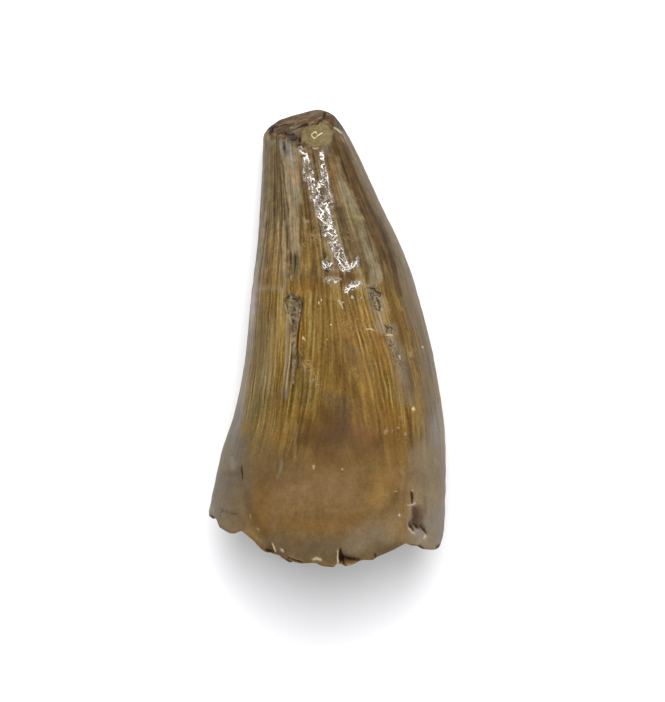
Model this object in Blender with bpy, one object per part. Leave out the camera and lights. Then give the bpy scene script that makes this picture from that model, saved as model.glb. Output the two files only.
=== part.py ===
"""Crown of a fossil crocodile tooth, lying on its side on a small flat spot.

One grown piece: a slightly recurved cone of oval section with two low keels, broken and
worn off at the tip, broken ragged at the base where the hollow of the pulp opens.

Frame, metres: +Y runs along the tooth to its tip, +X to the convex edge, +Z up. The
origin is on the ground under the middle of the tooth's box.
"""

import math

import bmesh
import bpy
import numpy as np
from mathutils import Vector

MM = 0.001

# ---------------------------------------------------------------- driving dimensions, mm
# Outline of the crown seen from above: distance along the tooth, concave edge, convex edge.
OUTLINE = (
    (-9.90, -5.23, 4.72),
    (-8.70, -5.15, 4.81),
    (-7.20, -4.93, 4.92),
    (-5.95, -4.68, 4.99),
    (-4.70, -4.38, 4.97),
    (-3.40, -3.95, 4.87),
    (-2.15, -3.70, 4.69),
    (-0.90, -3.53, 4.45),
    (0.35, -3.40, 4.12),
    (1.60, -3.28, 3.77),
    (2.90, -3.15, 3.40),
    (4.15, -3.00, 2.91),
    (5.40, -2.88, 2.29),
    (6.65, -2.79, 1.76),
    (7.90, -2.76, 1.20),
    (8.95, -2.74, 0.66),
    (10.00, -2.70, 0.10),
    (11.00, -2.60, -0.40),
)
# Thickness over width of the section, and height of the underside, along the tooth.
THICK_OVER_WIDE = ((-9.9, 0.915), (-5.0, 0.925), (0.0, 0.915), (5.0, 0.90), (11.0, 0.88))
UNDERSIDE = (
    (-9.90, 0.07),
    (-8.00, 0.01),
    (-6.00, -0.10),
    (-3.00, -0.14),
    (0.00, -0.06),
    (3.00, 0.05),
    (7.00, 0.18),
    (11.00, 0.36),
)
# Ragged edge of the broken base, as x and y of its corners: the upper half of the
# section's round, then the lower half.
BREAK_ABOVE = (
    (-4.95, -7.25), (-4.78, -7.38), (-4.60, -7.40), (-4.35, -7.76), (-4.00, -8.00),
    (-3.68, -8.02), (-3.54, -7.88), (-3.15, -8.17), (-2.70, -8.55), (-2.35, -8.77),
    (-2.12, -8.68), (-1.72, -8.88), (-1.10, -9.12), (-0.40, -9.08), (0.10, -9.25),
    (0.36, -9.33), (0.48, -9.00), (0.62, -9.08), (0.90, -9.19), (1.38, -9.18),
    (1.55, -8.97), (2.05, -8.98), (2.53, -8.80), (3.36, -8.41), (3.70, -8.60),
    (4.45, -8.70), (4.65, -8.45), (4.82, -8.00),
)
BREAK_BELOW = (
    (-4.95, -7.25), (-4.40, -7.45), (-3.80, -7.35), (-3.10, -8.20), (-2.40, -8.60),
    (-1.90, -9.35), (-1.40, -9.58), (-0.95, -9.20), (-0.20, -9.00), (0.60, -9.30),
    (1.50, -8.95), (2.30, -9.05), (3.00, -8.60), (3.55, -8.82), (3.90, -8.50),
    (4.40, -8.85), (4.82, -8.00),
)
KEEL_ANGLES = (121.0, 239.0)  # degrees, both nearer the concave edge
KEEL_HEIGHT, KEEL_WIDTH = 0.09, 7.0  # mm, degrees
WALL = 0.95  # mm, at the broken base
PULP_DEPTH = 7.5  # mm, from the broken edge to the end of the hollow
UNDULATION = 0.035  # mm, slow unevenness of the flanks

# Faces worn and broken on the tip: a point on each, and its outward direction.
TIP_FACES = (
    ((-1.20, 9.57, 1.30), (-0.27, 0.88, 0.36)),  # the break across the tip
    ((-2.30, 9.09, 1.30), (-0.65, 0.76, 0.12)),  # its concave shoulder
    ((-0.12, 9.69, 1.30), (0.34, 0.92, 0.22)),  # its highest corner
    ((0.33, 9.38, 1.30), (0.77, 0.64, 0.12)),  # its convex shoulder
    ((-0.34, 8.10, 3.60), (0.05, 0.65, 0.76)),  # the round worn face on the upper side
    ((-1.10, 8.60, 0.36), (-0.05, 0.52, -0.85)),  # a smaller one on the underside
)

AROUND = 84  # vertices round each ring
ALONG = 27  # rings from base to tip
INSIDE = 9  # rings down the hollow


def curve(table, at):
    """A smooth curve through a table's points, by cubic Hermite spans."""
    x = np.array([row[0] for row in table], float)
    y = np.array([row[1] for row in table], float)
    slope = np.gradient(y, x)
    at = np.clip(np.asarray(at, float), x[0], x[-1])
    i = np.clip(np.searchsorted(x, at) - 1, 0, len(x) - 2)
    wide = x[i + 1] - x[i]
    t = (at - x[i]) / wide
    return (
        y[i] * (1 + 2 * t) * (1 - t) ** 2
        + slope[i] * wide * t * (1 - t) ** 2
        + y[i + 1] * t * t * (3 - 2 * t)
        - slope[i + 1] * wide * t * t * (1 - t)
    )


LEFT_EDGE = tuple((row[0], row[1]) for row in OUTLINE)
RIGHT_EDGE = tuple((row[0], row[2]) for row in OUTLINE)


def section(y):
    """Centre x, half width, centre z and half thickness of the section at y."""
    left, right = curve(LEFT_EDGE, y), curve(RIGHT_EDGE, y)
    wide = (right - left) / 2
    thick = wide * curve(THICK_OVER_WIDE, y)
    return (left + right) / 2, wide, thick + curve(UNDERSIDE, y), thick


def edge_of_break(angle):
    """y of the broken edge at angles in degrees: straight chips between its corners."""
    turn = np.radians(angle)
    left, right = BREAK_ABOVE[0][0], BREAK_ABOVE[-1][0]
    x = (left + right) / 2 + (right - left) / 2 * np.cos(turn)
    above, below = np.array(BREAK_ABOVE).T, np.array(BREAK_BELOW).T
    return np.where(np.sin(turn) >= 0, np.interp(x, *above), np.interp(x, *below))


def relief(angle, y):
    """Height of keels and slow undulation over the plain section, in mm."""
    keels = sum(
        np.exp(-((((angle - k + 180) % 360 - 180) / KEEL_WIDTH) ** 2))
        for k in KEEL_ANGLES
    )
    a = np.radians(angle)
    slow = (
        np.sin(3 * a + 0.35 * y + 0.6)
        + 0.7 * np.sin(5 * a - 0.55 * y + 2.1)
        + 0.5 * np.sin(2 * a + 1.3 * y)
    )
    return KEEL_HEIGHT * keels * np.clip((y + 7.5) / 3, 0, 1) + UNDULATION * slow


def on_flank(angle, y, inward=0.0):
    """The flank's points at angles in degrees and y, or so far inward of it, in mm."""
    x0, wide, z0, thick = section(y)
    rise = relief(angle, y) - inward
    a = np.radians(angle)
    return np.stack(
        [x0 + (wide + rise) * np.cos(a), y, z0 + (thick + rise) * np.sin(a)], axis=-1
    )


def rings():
    """Every ring of the closed skin in turn: end of the hollow, hollow, break, flank."""
    angle = np.arange(AROUND) * 360.0 / AROUND
    edge = edge_of_break(angle)
    found = []
    # The hollow: a blunt cone whose mouth follows the broken edge.
    for k in range(INSIDE, 0, -1):
        s = k / (INSIDE + 0.35)
        y = edge + 0.30 + (PULP_DEPTH - 0.3) * s + (-8.9 - edge) * s
        x0, wide, z0, thick = section(y)
        narrow = (1 - s * s) ** 0.55
        a = np.radians(angle)
        found.append(
            np.stack(
                [
                    x0 + (wide - WALL) * narrow * np.cos(a),
                    y,
                    z0 + (thick - WALL) * narrow * np.sin(a),
                ],
                axis=-1,
            )
        )
    # The break: it slopes in from the outer edge, stepped where the layers part.
    found.append(on_flank(angle, edge + 0.32, WALL))
    found.append(on_flank(angle, edge + 0.16 + 0.05 * np.sin(np.radians(7 * angle)), 0.55))
    found.append(on_flank(angle, edge))
    # The flank, whose rings lose the ragged edge's shape within the first few.
    top = OUTLINE[-1][0] - 0.2
    for k in range(1, ALONG + 1):
        s = (k / ALONG) ** 1.08
        level = -9.0 + (top + 9.0) * s
        fade = max(0.0, 1 - s * 5.5) ** 1.5
        y = level + (edge + 9.0) * fade
        found.append(on_flank(angle, np.maximum(y, edge + 0.12 * k)))
    return found


def extruded_skin(found):
    """Extrudes an edge loop from ring to ring and closes both ends."""
    bm = bmesh.new()
    ring = [bm.verts.new(Vector(p) * MM) for p in found[0]]
    edges = [bm.edges.new((ring[i], ring[(i + 1) % AROUND])) for i in range(AROUND)]
    bmesh.ops.contextual_create(bm, geom=edges)
    for points in found[1:]:
        made = bmesh.ops.extrude_edge_only(bm, edges=edges)["geom"]
        new = {g for g in made if isinstance(g, bmesh.types.BMVert)}
        ring = [
            next(e.other_vert(v) for e in v.link_edges if e.other_vert(v) in new)
            for v in ring
        ]
        for v, p in zip(ring, points):
            v.co = Vector(p) * MM
        edges = [bm.edges.get((ring[i], ring[(i + 1) % AROUND])) for i in range(AROUND)]
    bmesh.ops.contextual_create(bm, geom=edges)
    bmesh.ops.recalc_face_normals(bm, faces=bm.faces)
    return bm


def cut_flat(bm, point, outward):
    """Takes off what is outside a plane and closes the cut with one flat face."""
    bmesh.ops.bisect_plane(
        bm,
        geom=bm.verts[:] + bm.edges[:] + bm.faces[:],
        dist=1e-7,
        plane_co=Vector(point) * MM,
        plane_no=Vector(outward).normalized(),
        clear_outer=True,
    )
    rim = [e for e in bm.edges if e.is_boundary]
    bmesh.ops.holes_fill(bm, edges=rim, sides=0)
    bmesh.ops.recalc_face_normals(bm, faces=bm.faces)


def stone_material():
    mat = bpy.data.materials.new("fossil_enamel")
    mat.use_nodes = True
    shader = mat.node_tree.nodes["Principled BSDF"]
    shader.inputs["Base Color"].default_value = (0.175, 0.105, 0.042, 1.0)
    shader.inputs["Roughness"].default_value = 0.32
    shader.inputs["Metallic"].default_value = 0.0
    return mat


def main():
    for old in list(bpy.data.objects):
        bpy.data.objects.remove(old, do_unlink=True)

    bm = extruded_skin(rings())
    for point, outward in TIP_FACES:
        cut_flat(bm, point, outward)
    cut_flat(bm, (0, 0, 0), (0, 0, -1))  # the small flat spot that it lies on
    bmesh.ops.dissolve_degenerate(bm, dist=2e-6, edges=bm.edges[:])
    bmesh.ops.triangulate(bm, faces=bm.faces[:])

    # The origin goes under the middle of the box.
    co = np.array([v.co for v in bm.verts])
    low, high = co.min(0), co.max(0)
    shift = Vector((-(low[0] + high[0]) / 2, -(low[1] + high[1]) / 2, 0.0))
    bmesh.ops.translate(bm, verts=bm.verts[:], vec=shift)
    print("shift mm", [round(s / MM, 4) for s in shift])

    mesh = bpy.data.meshes.new("tooth")
    bm.to_mesh(mesh)
    bm.free()
    mesh.shade_smooth()
    mesh.set_sharp_from_angle(angle=math.radians(32))
    tooth = bpy.data.objects.new("tooth", mesh)
    tooth.data.materials.append(stone_material())
    bpy.context.scene.collection.objects.link(tooth)


main()
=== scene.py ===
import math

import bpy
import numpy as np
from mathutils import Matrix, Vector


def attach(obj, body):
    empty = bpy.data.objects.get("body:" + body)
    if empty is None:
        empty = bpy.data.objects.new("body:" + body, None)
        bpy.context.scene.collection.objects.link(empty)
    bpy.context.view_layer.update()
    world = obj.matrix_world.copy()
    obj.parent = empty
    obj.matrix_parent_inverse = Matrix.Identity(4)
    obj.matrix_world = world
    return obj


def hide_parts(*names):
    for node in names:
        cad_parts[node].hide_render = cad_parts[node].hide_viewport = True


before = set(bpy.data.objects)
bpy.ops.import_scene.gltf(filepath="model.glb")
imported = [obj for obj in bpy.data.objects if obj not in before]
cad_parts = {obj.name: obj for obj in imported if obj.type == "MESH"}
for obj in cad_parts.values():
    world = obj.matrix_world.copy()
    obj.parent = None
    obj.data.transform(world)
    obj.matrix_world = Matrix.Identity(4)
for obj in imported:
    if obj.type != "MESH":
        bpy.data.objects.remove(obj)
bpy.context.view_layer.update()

# Looks of a fossil crocodile tooth: the worn, amber-brown crown lying on its side on a
# pale floor, seen from straight above.
#
# The tooth is one mesh, laid out in rings from the end of its hollow, over the broken
# base and along the flank to the tip. Lengths here are millimetres in the tooth's own
# frame before its box is centred; SHIFT then centres it, and the mesh is in metres.
# Marks on the upper side are placed on a flat chart of it, 665 by 702 units of PIXEL mm,
# whose x runs to the right and y down from the tip's side.

MM = 0.001
SHIFT = np.array([0.0268, -0.1698, 0.0])

# ---------------------------------------------------------------- form, as the solid has it
OUTLINE = (
    (-9.90, -5.23, 4.72), (-8.70, -5.15, 4.81), (-7.20, -4.93, 4.92), (-5.95, -4.68, 4.99),
    (-4.70, -4.38, 4.97), (-3.40, -3.95, 4.87), (-2.15, -3.70, 4.69), (-0.90, -3.53, 4.45),
    (0.35, -3.40, 4.12), (1.60, -3.28, 3.77), (2.90, -3.15, 3.43), (4.15, -3.00, 2.95),
    (5.40, -2.88, 2.35), (6.65, -2.79, 1.80), (7.90, -2.76, 1.26), (8.95, -2.74, 0.73),
    (10.00, -2.70, 0.18), (11.00, -2.60, -0.31),
)
THICK_OVER_WIDE = ((-9.9, 0.915), (-5.0, 0.925), (0.0, 0.915), (5.0, 0.90), (11.0, 0.88))
UNDERSIDE = (
    (-9.90, 0.07), (-8.00, 0.01), (-6.00, -0.10), (-3.00, -0.14), (0.00, -0.06),
    (3.00, 0.05), (7.00, 0.18), (11.00, 0.36),
)
# The upper half's broken edge, with more of its small chips than the solid has.
CHIPPED_ABOVE = (
    (-4.95, -7.25), (-4.86, -7.43), (-4.72, -7.48), (-4.57, -7.47), (-4.48, -7.64),
    (-4.40, -7.79), (-4.25, -7.89), (-4.09, -7.97), (-3.93, -8.02), (-3.79, -8.03),
    (-3.69, -8.00), (-3.62, -7.94), (-3.48, -7.92), (-3.38, -7.98), (-3.18, -8.12),
    (-3.05, -8.22), (-2.92, -8.31), (-2.83, -8.41), (-2.72, -8.50), (-2.66, -8.56),
    (-2.58, -8.62), (-2.43, -8.72), (-2.31, -8.74), (-2.20, -8.73), (-2.15, -8.76),
    (-2.07, -8.79), (-1.90, -8.83), (-1.74, -8.88), (-1.66, -8.91), (-1.54, -8.98),
    (-1.29, -9.08), (-1.13, -9.13), (-0.99, -9.16), (-0.81, -9.14), (-0.60, -9.13),
    (-0.44, -9.12), (-0.31, -9.14), (-0.12, -9.24), (0.09, -9.27), (0.29, -9.29),
    (0.39, -9.29), (0.44, -9.20), (0.51, -9.15), (0.63, -9.16), (0.74, -9.22),
    (0.86, -9.27), (1.02, -9.26), (1.14, -9.20), (1.30, -9.09), (1.43, -9.03),
    (1.58, -9.01), (1.79, -9.03), (1.95, -9.01), (2.00, -8.96), (2.05, -8.91),
    (2.32, -8.81), (2.60, -8.70), (2.78, -8.62), (2.94, -8.53), (3.11, -8.44),
    (3.22, -8.40), (3.32, -8.43), (3.46, -8.50), (3.71, -8.53), (3.82, -8.60),
    (3.92, -8.67), (4.12, -8.72), (4.35, -8.75), (4.49, -8.74), (4.61, -8.69),
    (4.68, -8.55), (4.74, -8.30), (4.82, -8.00),
)
BREAK_BELOW = (
    (-4.95, -7.25), (-4.40, -7.45), (-3.80, -7.35), (-3.10, -8.20), (-2.40, -8.60),
    (-1.90, -9.38), (-1.45, -9.66), (-0.95, -9.40), (-0.20, -9.00), (0.60, -9.30),
    (1.50, -8.95), (2.30, -9.05), (3.00, -8.60), (3.55, -8.82), (3.90, -8.50),
    (4.40, -8.85), (4.82, -8.00),
)
KEEL_ANGLES = (121.0, 239.0)
KEEL_HEIGHT, KEEL_WIDTH = 0.09, 7.0
WALL = 0.95
PULP_DEPTH = 7.5
UNDULATION = 0.035
TIP_BREAKS = (
    ((-1.20, 9.57, 1.30), (-0.27, 0.88, 0.36)),
    ((-2.35, 9.15, 1.30), (-0.65, 0.76, 0.12)),
    ((-0.11, 9.71, 1.30), (0.34, 0.92, 0.22)),
    ((0.38, 9.42, 1.30), (0.77, 0.64, 0.12)),
)
TIP_WEAR = (
    ((-0.34, 8.10, 3.60), (0.05, 0.65, 0.76)),
    ((-1.10, 8.60, 0.36), (-0.05, 0.52, -0.85)),
)
ANCHOR = np.array([-0.40, 6.0, 2.40])  # inside the tip: what the break takes off shrinks to it

# ---------------------------------------------------------------- the chart
PIXEL = 0.0418  # mm to one unit
EYE, LEVEL = 147.0, 4.6  # mm: the camera's distance above the height the scale holds at
MIDDLE = (0.188, -0.543)

# ---------------------------------------------------------------- fineness of the mesh
AROUND = 448
FLANK_RINGS = 184
CAP_RINGS = 15
RIM_INWARD = (0.0, 0.03, 0.09, 0.18, 0.32, 0.50, 0.72, 0.95)  # of the wall's thickness
HOLLOW_RINGS = 13
STRIAE = 112  # fine ridges round the crown


# ---------------------------------------------------------------- noise
def hashed(ix, iy, iz, seed):
    n = (
        ix.astype(np.int64).astype(np.uint64) * np.uint64(73856093)
        ^ iy.astype(np.int64).astype(np.uint64) * np.uint64(19349663)
        ^ iz.astype(np.int64).astype(np.uint64) * np.uint64(83492791)
        ^ np.uint64(seed * 2654435761 % 2**32)
    ) & np.uint64(0xFFFFFFFF)
    for shift, by in ((15, 2246822519), (13, 3266489917), (16, 668265263)):
        n = ((n ^ (n >> np.uint64(shift))) * np.uint64(by)) & np.uint64(0xFFFFFFFF)
    return (n ^ (n >> np.uint64(14))).astype(float) / 2**32


def noise(p, seed=0):
    """Smooth noise from -1 to 1 at points p, one feature to a unit."""
    base = np.floor(p)
    f = p - base
    f = f * f * f * (f * (f * 6 - 15) + 10)
    total = 0.0
    for dx in (0, 1):
        for dy in (0, 1):
            for dz in (0, 1):
                weight = (
                    (f[..., 0] if dx else 1 - f[..., 0])
                    * (f[..., 1] if dy else 1 - f[..., 1])
                    * (f[..., 2] if dz else 1 - f[..., 2])
                )
                total = total + weight * hashed(
                    base[..., 0] + dx, base[..., 1] + dy, base[..., 2] + dz, seed
                )
    return total * 2 - 1


def fractal(p, octaves=4, gain=0.5, seed=0):
    total, size, most = 0.0, 1.0, 0.0
    for i in range(octaves):
        total = total + size * noise(p * 2.03**i + 17.3 * i, seed + i)
        most += size
        size *= gain
    return total / most


def smooth(low, high, x):
    t = np.clip((x - low) / (high - low), 0, 1)
    return t * t * (3 - 2 * t)


# ---------------------------------------------------------------- the plain form
def curve(table, at):
    x = np.array([row[0] for row in table], float)
    y = np.array([row[1] for row in table], float)
    slope = np.gradient(y, x)
    at = np.clip(np.asarray(at, float), x[0], x[-1])
    i = np.clip(np.searchsorted(x, at) - 1, 0, len(x) - 2)
    wide = x[i + 1] - x[i]
    t = (at - x[i]) / wide
    return (
        y[i] * (1 + 2 * t) * (1 - t) ** 2
        + slope[i] * wide * t * (1 - t) ** 2
        + y[i + 1] * t * t * (3 - 2 * t)
        - slope[i + 1] * wide * t * t * (1 - t)
    )


LEFT_EDGE = tuple((row[0], row[1]) for row in OUTLINE)
RIGHT_EDGE = tuple((row[0], row[2]) for row in OUTLINE)


def section(y):
    left, right = curve(LEFT_EDGE, y), curve(RIGHT_EDGE, y)
    wide = (right - left) / 2
    thick = wide * curve(THICK_OVER_WIDE, y)
    return (left + right) / 2, wide, thick + curve(UNDERSIDE, y), thick


def edge_of_break(turn):
    left, right = CHIPPED_ABOVE[0][0], CHIPPED_ABOVE[-1][0]
    x = (left + right) / 2 + (right - left) / 2 * np.cos(turn)
    above, below = np.array(CHIPPED_ABOVE).T, np.array(BREAK_BELOW).T
    return np.where(np.sin(turn) >= 0, np.interp(x, *above), np.interp(x, *below))


def relief(turn, y):
    angle = np.degrees(turn)
    keels = sum(
        np.exp(-((((angle - k + 180) % 360 - 180) / KEEL_WIDTH) ** 2)) for k in KEEL_ANGLES
    )
    slow = (
        np.sin(3 * turn + 0.35 * y + 0.6)
        + 0.7 * np.sin(5 * turn - 0.55 * y + 2.1)
        + 0.5 * np.sin(2 * turn + 1.3 * y)
    )
    return KEEL_HEIGHT * keels * np.clip((y + 7.5) / 3, 0, 1) + UNDULATION * slow


def on_flank(turn, y, inward=0.0, fine=0.0):
    x0, wide, z0, thick = section(y)
    rise = relief(turn, y) - inward + fine
    return np.stack(
        [x0 + (wide + rise) * np.cos(turn), y + 0 * turn, z0 + (thick + rise) * np.sin(turn)],
        axis=-1,
    )


def worn(points, faces, power):
    """Points outside any of the faces drawn in towards the anchor, with rounded edges."""
    ray = points - ANCHOR
    total = np.ones(points.shape[:-1])
    for at, outward in faces:
        n = np.array(outward) / np.linalg.norm(outward)
        reach = float(n @ (np.array(at) - ANCHOR))
        total = total + np.clip(ray @ n / reach, 0, 3) ** power
    return ANCHOR + ray / (total ** (1 / power))[..., None]


def levels():
    """y of the flank's rings, closer together where the crown is marked most."""
    y = np.linspace(-9.0, 10.8, 400)
    close = (
        1.0
        + 0.55 * smooth(-4.5, -3.0, y)
        - 0.25 * smooth(2.0, 3.5, y) * (1 - smooth(6.5, 7.5, y))
        + 0.55 * smooth(6.8, 7.6, y)
        + 1.2 * (1 - smooth(-9.0, -8.2, y))
    )
    total = np.concatenate([[0], np.cumsum((close[1:] + close[:-1]) / 2)])
    return np.interp(np.linspace(0, 1, FLANK_RINGS + 1)[1:], total / total[-1], y)


phase = np.arange(AROUND) / AROUND * 2 * np.pi
turn = phase + 0.25 * np.cos(phase)  # denser on the upper side
cosine, sine = np.cos(turn), np.sin(turn)
ring_of = np.stack([4.6 * cosine, 4.6 * sine, 0 * turn], axis=-1)

# Corners of the break are a little rounded.
coarse_edge = sum(
    share * edge_of_break(turn + math.radians(off))
    for off, share in ((-0.5, 0.25), (0.0, 0.5), (0.5, 0.25))
)
edge = (
    coarse_edge
    + 0.022 * fractal(ring_of * 2.8, 4, 0.6, 3)
)
wall = WALL * (1 + 0.16 * fractal(ring_of * 0.55, 2, 0.5, 11) + 0.05 * noise(ring_of * 2.2, 12))

rows, where, inward_at, depth_at = [], [], [], []


def add_ring(points, kind, inward=0.0, depth=0.0):
    rows.append(points)
    where.append(kind)
    inward_at.append(np.broadcast_to(inward, (AROUND,)))
    depth_at.append(np.broadcast_to(depth, (AROUND,)))


# The hollow, from its blunt end to its mouth.
for k in range(HOLLOW_RINGS, 0, -1):
    s = min(0.985, k / (HOLLOW_RINGS + 0.2))
    y = edge + 0.30 + (PULP_DEPTH - 0.3) * s + (-8.9 - edge) * s
    x0, wide, z0, thick = section(y)
    narrow = (1 - s * s) ** 0.55
    points = np.stack(
        [
            x0 + (wide - wall) * narrow * cosine,
            y,
            z0 + (thick - wall) * narrow * sine,
        ],
        axis=-1,
    )
    add_ring(points, 0, 1.0, s)
# The break across the wall, from the hollow out: it slopes in and is rough.
for share in RIM_INWARD[::-1]:
    rough = fractal(ring_of * np.array([2.6, 2.6, 1.0]) + [0, 0, share * 3.2], 4, 0.6, 21)
    step = 0.10 * smooth(0.18, 0.26, share) * smooth(-0.2, 0.3, noise(ring_of * 0.9, 27))
    y = edge + 0.34 * share + step + 0.09 * rough * smooth(0.0, 0.25, share)
    rounded = 0.012 if share == 0 else 0.0
    add_ring(on_flank(turn, y, wall * share + rounded), 1, share)
# The flank.
for level in levels():
    fade = max(0.0, 1 - (level + 9.0) / 3.6) ** 1.5
    add_ring(on_flank(turn, level + (edge + 9.0) * fade), 2)
# The cap that the tip's break cuts into.
x0, wide, z0, thick = section(10.8)
for k in range(1, CAP_RINGS + 1):
    narrow = 1 - k / (CAP_RINGS + 0.6)
    points = np.stack(
        [x0 + wide * narrow * cosine, np.full(AROUND, 10.8), z0 + thick * narrow * sine], axis=-1
    )
    add_ring(points, 3)

P = np.array(rows)
kind = np.repeat(np.array(where)[:, None], AROUND, axis=1)
inward = np.array(inward_at)
depth = np.array(depth_at)
flank_y = np.where(kind >= 2, P[..., 1], -8.0)
outer = kind >= 2
before = P.copy()
P[outer] = worn(worn(P[outer], TIP_BREAKS, 44), TIP_WEAR, 34)
cut = np.linalg.norm(P - before, axis=-1)


def normals(P):
    along = np.empty_like(P)
    along[1:-1] = P[2:] - P[:-2]
    along[0], along[-1] = P[1] - P[0], P[-1] - P[-2]
    round_ = np.roll(P, -1, axis=1) - np.roll(P, 1, axis=1)
    n = np.cross(along, round_)
    return n / np.maximum(np.linalg.norm(n, axis=-1, keepdims=True), 1e-12)


N = normals(P)


def chart(P):
    k = EYE / (EYE + LEVEL - P[..., 2])
    return (
        332.5 + (P[..., 0] - MIDDLE[0]) * k / PIXEL,
        351.0 - (P[..., 1] - MIDDLE[1]) * k / PIXEL,
    )


cx, cy = chart(P)
upper = smooth(0.02, 0.14, N[..., 2]) * (kind >= 1)
flank = (kind == 2) & (cut < 0.12)

# The lines of growth keep to one angle round the tooth, but fan out over the middle of the
# upper side towards the base: grown is the angle at which a line set out.
across = np.cos(turn)[None, :] + 0 * cx
fanned = 0.0017 * np.clip(cy - 292, 0, 175) * (1 - across**2) * (
    np.exp(-(((across - 0.42) / 0.30) ** 2)) - 0.45 * np.exp(-(((across + 0.30) / 0.28) ** 2))
)
angle_here = np.mod(turn, 2 * np.pi)[None, :] + 0 * cx
grown = np.where(angle_here < np.pi, np.arccos(np.clip(across - fanned, -1, 1)), angle_here)

# Cylinder coordinates: lines of growth run along the third.
flow = np.stack([4.6 * np.cos(grown), 4.6 * np.sin(grown), P[..., 1]], axis=-1)
stretched = flow * np.array([1.0, 1.0, 0.12])

# A little unevenness keeps every placed mark from being a clean stroke.
wobble_x = cx + 0.9 * fractal(P * 3.0, 3, 0.6, 31) + 0.5 * noise(P * 9.0, 33)
wobble_y = cy + 1.3 * fractal(P * 3.0, 3, 0.6, 41) + 0.6 * noise(P * 9.0, 43)


def path(points, x=None, y=None):
    """Distance from a path on the chart, in its half widths: points are x, y, half width."""
    x = wobble_x if x is None else x
    y = wobble_y if y is None else y
    best = np.full(x.shape, 9.0)
    for (ax, ay, aw), (bx, by, bw) in zip(points, points[1:] if len(points) > 1 else points):
        length = (bx - ax) ** 2 + (by - ay) ** 2
        t = np.clip(((x - ax) * (bx - ax) + (y - ay) * (by - ay)) / max(length, 1e-9), 0, 1)
        d = np.hypot(x - ax - t * (bx - ax), y - ay - t * (by - ay))
        best = np.minimum(best, d / (aw + t * (bw - aw)))
    return best


def spot(x0, y0, rx, ry, tilt=0.0, x=None, y=None):
    """Distance from a spot's centre on the chart, in its radii. tilt turns it clockwise."""
    x = wobble_x if x is None else x
    y = wobble_y if y is None else y
    c, s = math.cos(math.radians(tilt)), math.sin(math.radians(tilt))
    dx, dy = x - x0, y - y0
    return np.hypot((dx * c + dy * s) / rx, (-dx * s + dy * c) / ry)


def soft(distance):
    return np.exp(-(distance**2))


def solid(distance, edge=0.25):
    return 1 - smooth(1 - edge, 1 + edge, distance)


def most(*values):
    out = values[0]
    for v in values[1:]:
        out = np.maximum(out, v)
    return out


def least(*values):
    out = values[0]
    for v in values[1:]:
        out = np.minimum(out, v)
    return out


def linear(c):
    c = c / 255
    return c / 12.92 if c <= 0.04045 else ((c + 0.055) / 1.055) ** 2.4


def tone(red, green, blue, light=1.06, gloss=0.012):
    """A surface colour that shows as these values under this light, with the gloss over it."""
    return tuple(max(linear(c) - gloss, 0.002) / light for c in (red, green, blue)) + (1.0,)


# ---------------------------------------------------------------- marks on the upper side
TONES = {
    "amber": (134, 98, 46), "golden": (146, 114, 58), "straw": (160, 133, 82), "olive": (118, 100, 60),
    "umber": (96, 70, 34), "dark": (70, 50, 24), "rust": (108, 68, 40), "rosy": (146, 115, 80),
    "sand": (154, 136, 104), "moss": (148, 136, 102), "grey": (120, 109, 90), "ash": (142, 134, 118),
    "slate": (100, 90, 74), "chalk": (182, 170, 140), "soot": (46, 34, 24), "plum": (84, 64, 56),
    "cream": (206, 184, 136), "tan": (140, 112, 70), "dove": (142, 126, 101), "bark": (92, 66, 30),
    "cocoa": (108, 80, 42), "fawn": (128, 110, 82), "khaki": (115, 95, 66), "honey": (128, 97, 50),
}
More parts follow.
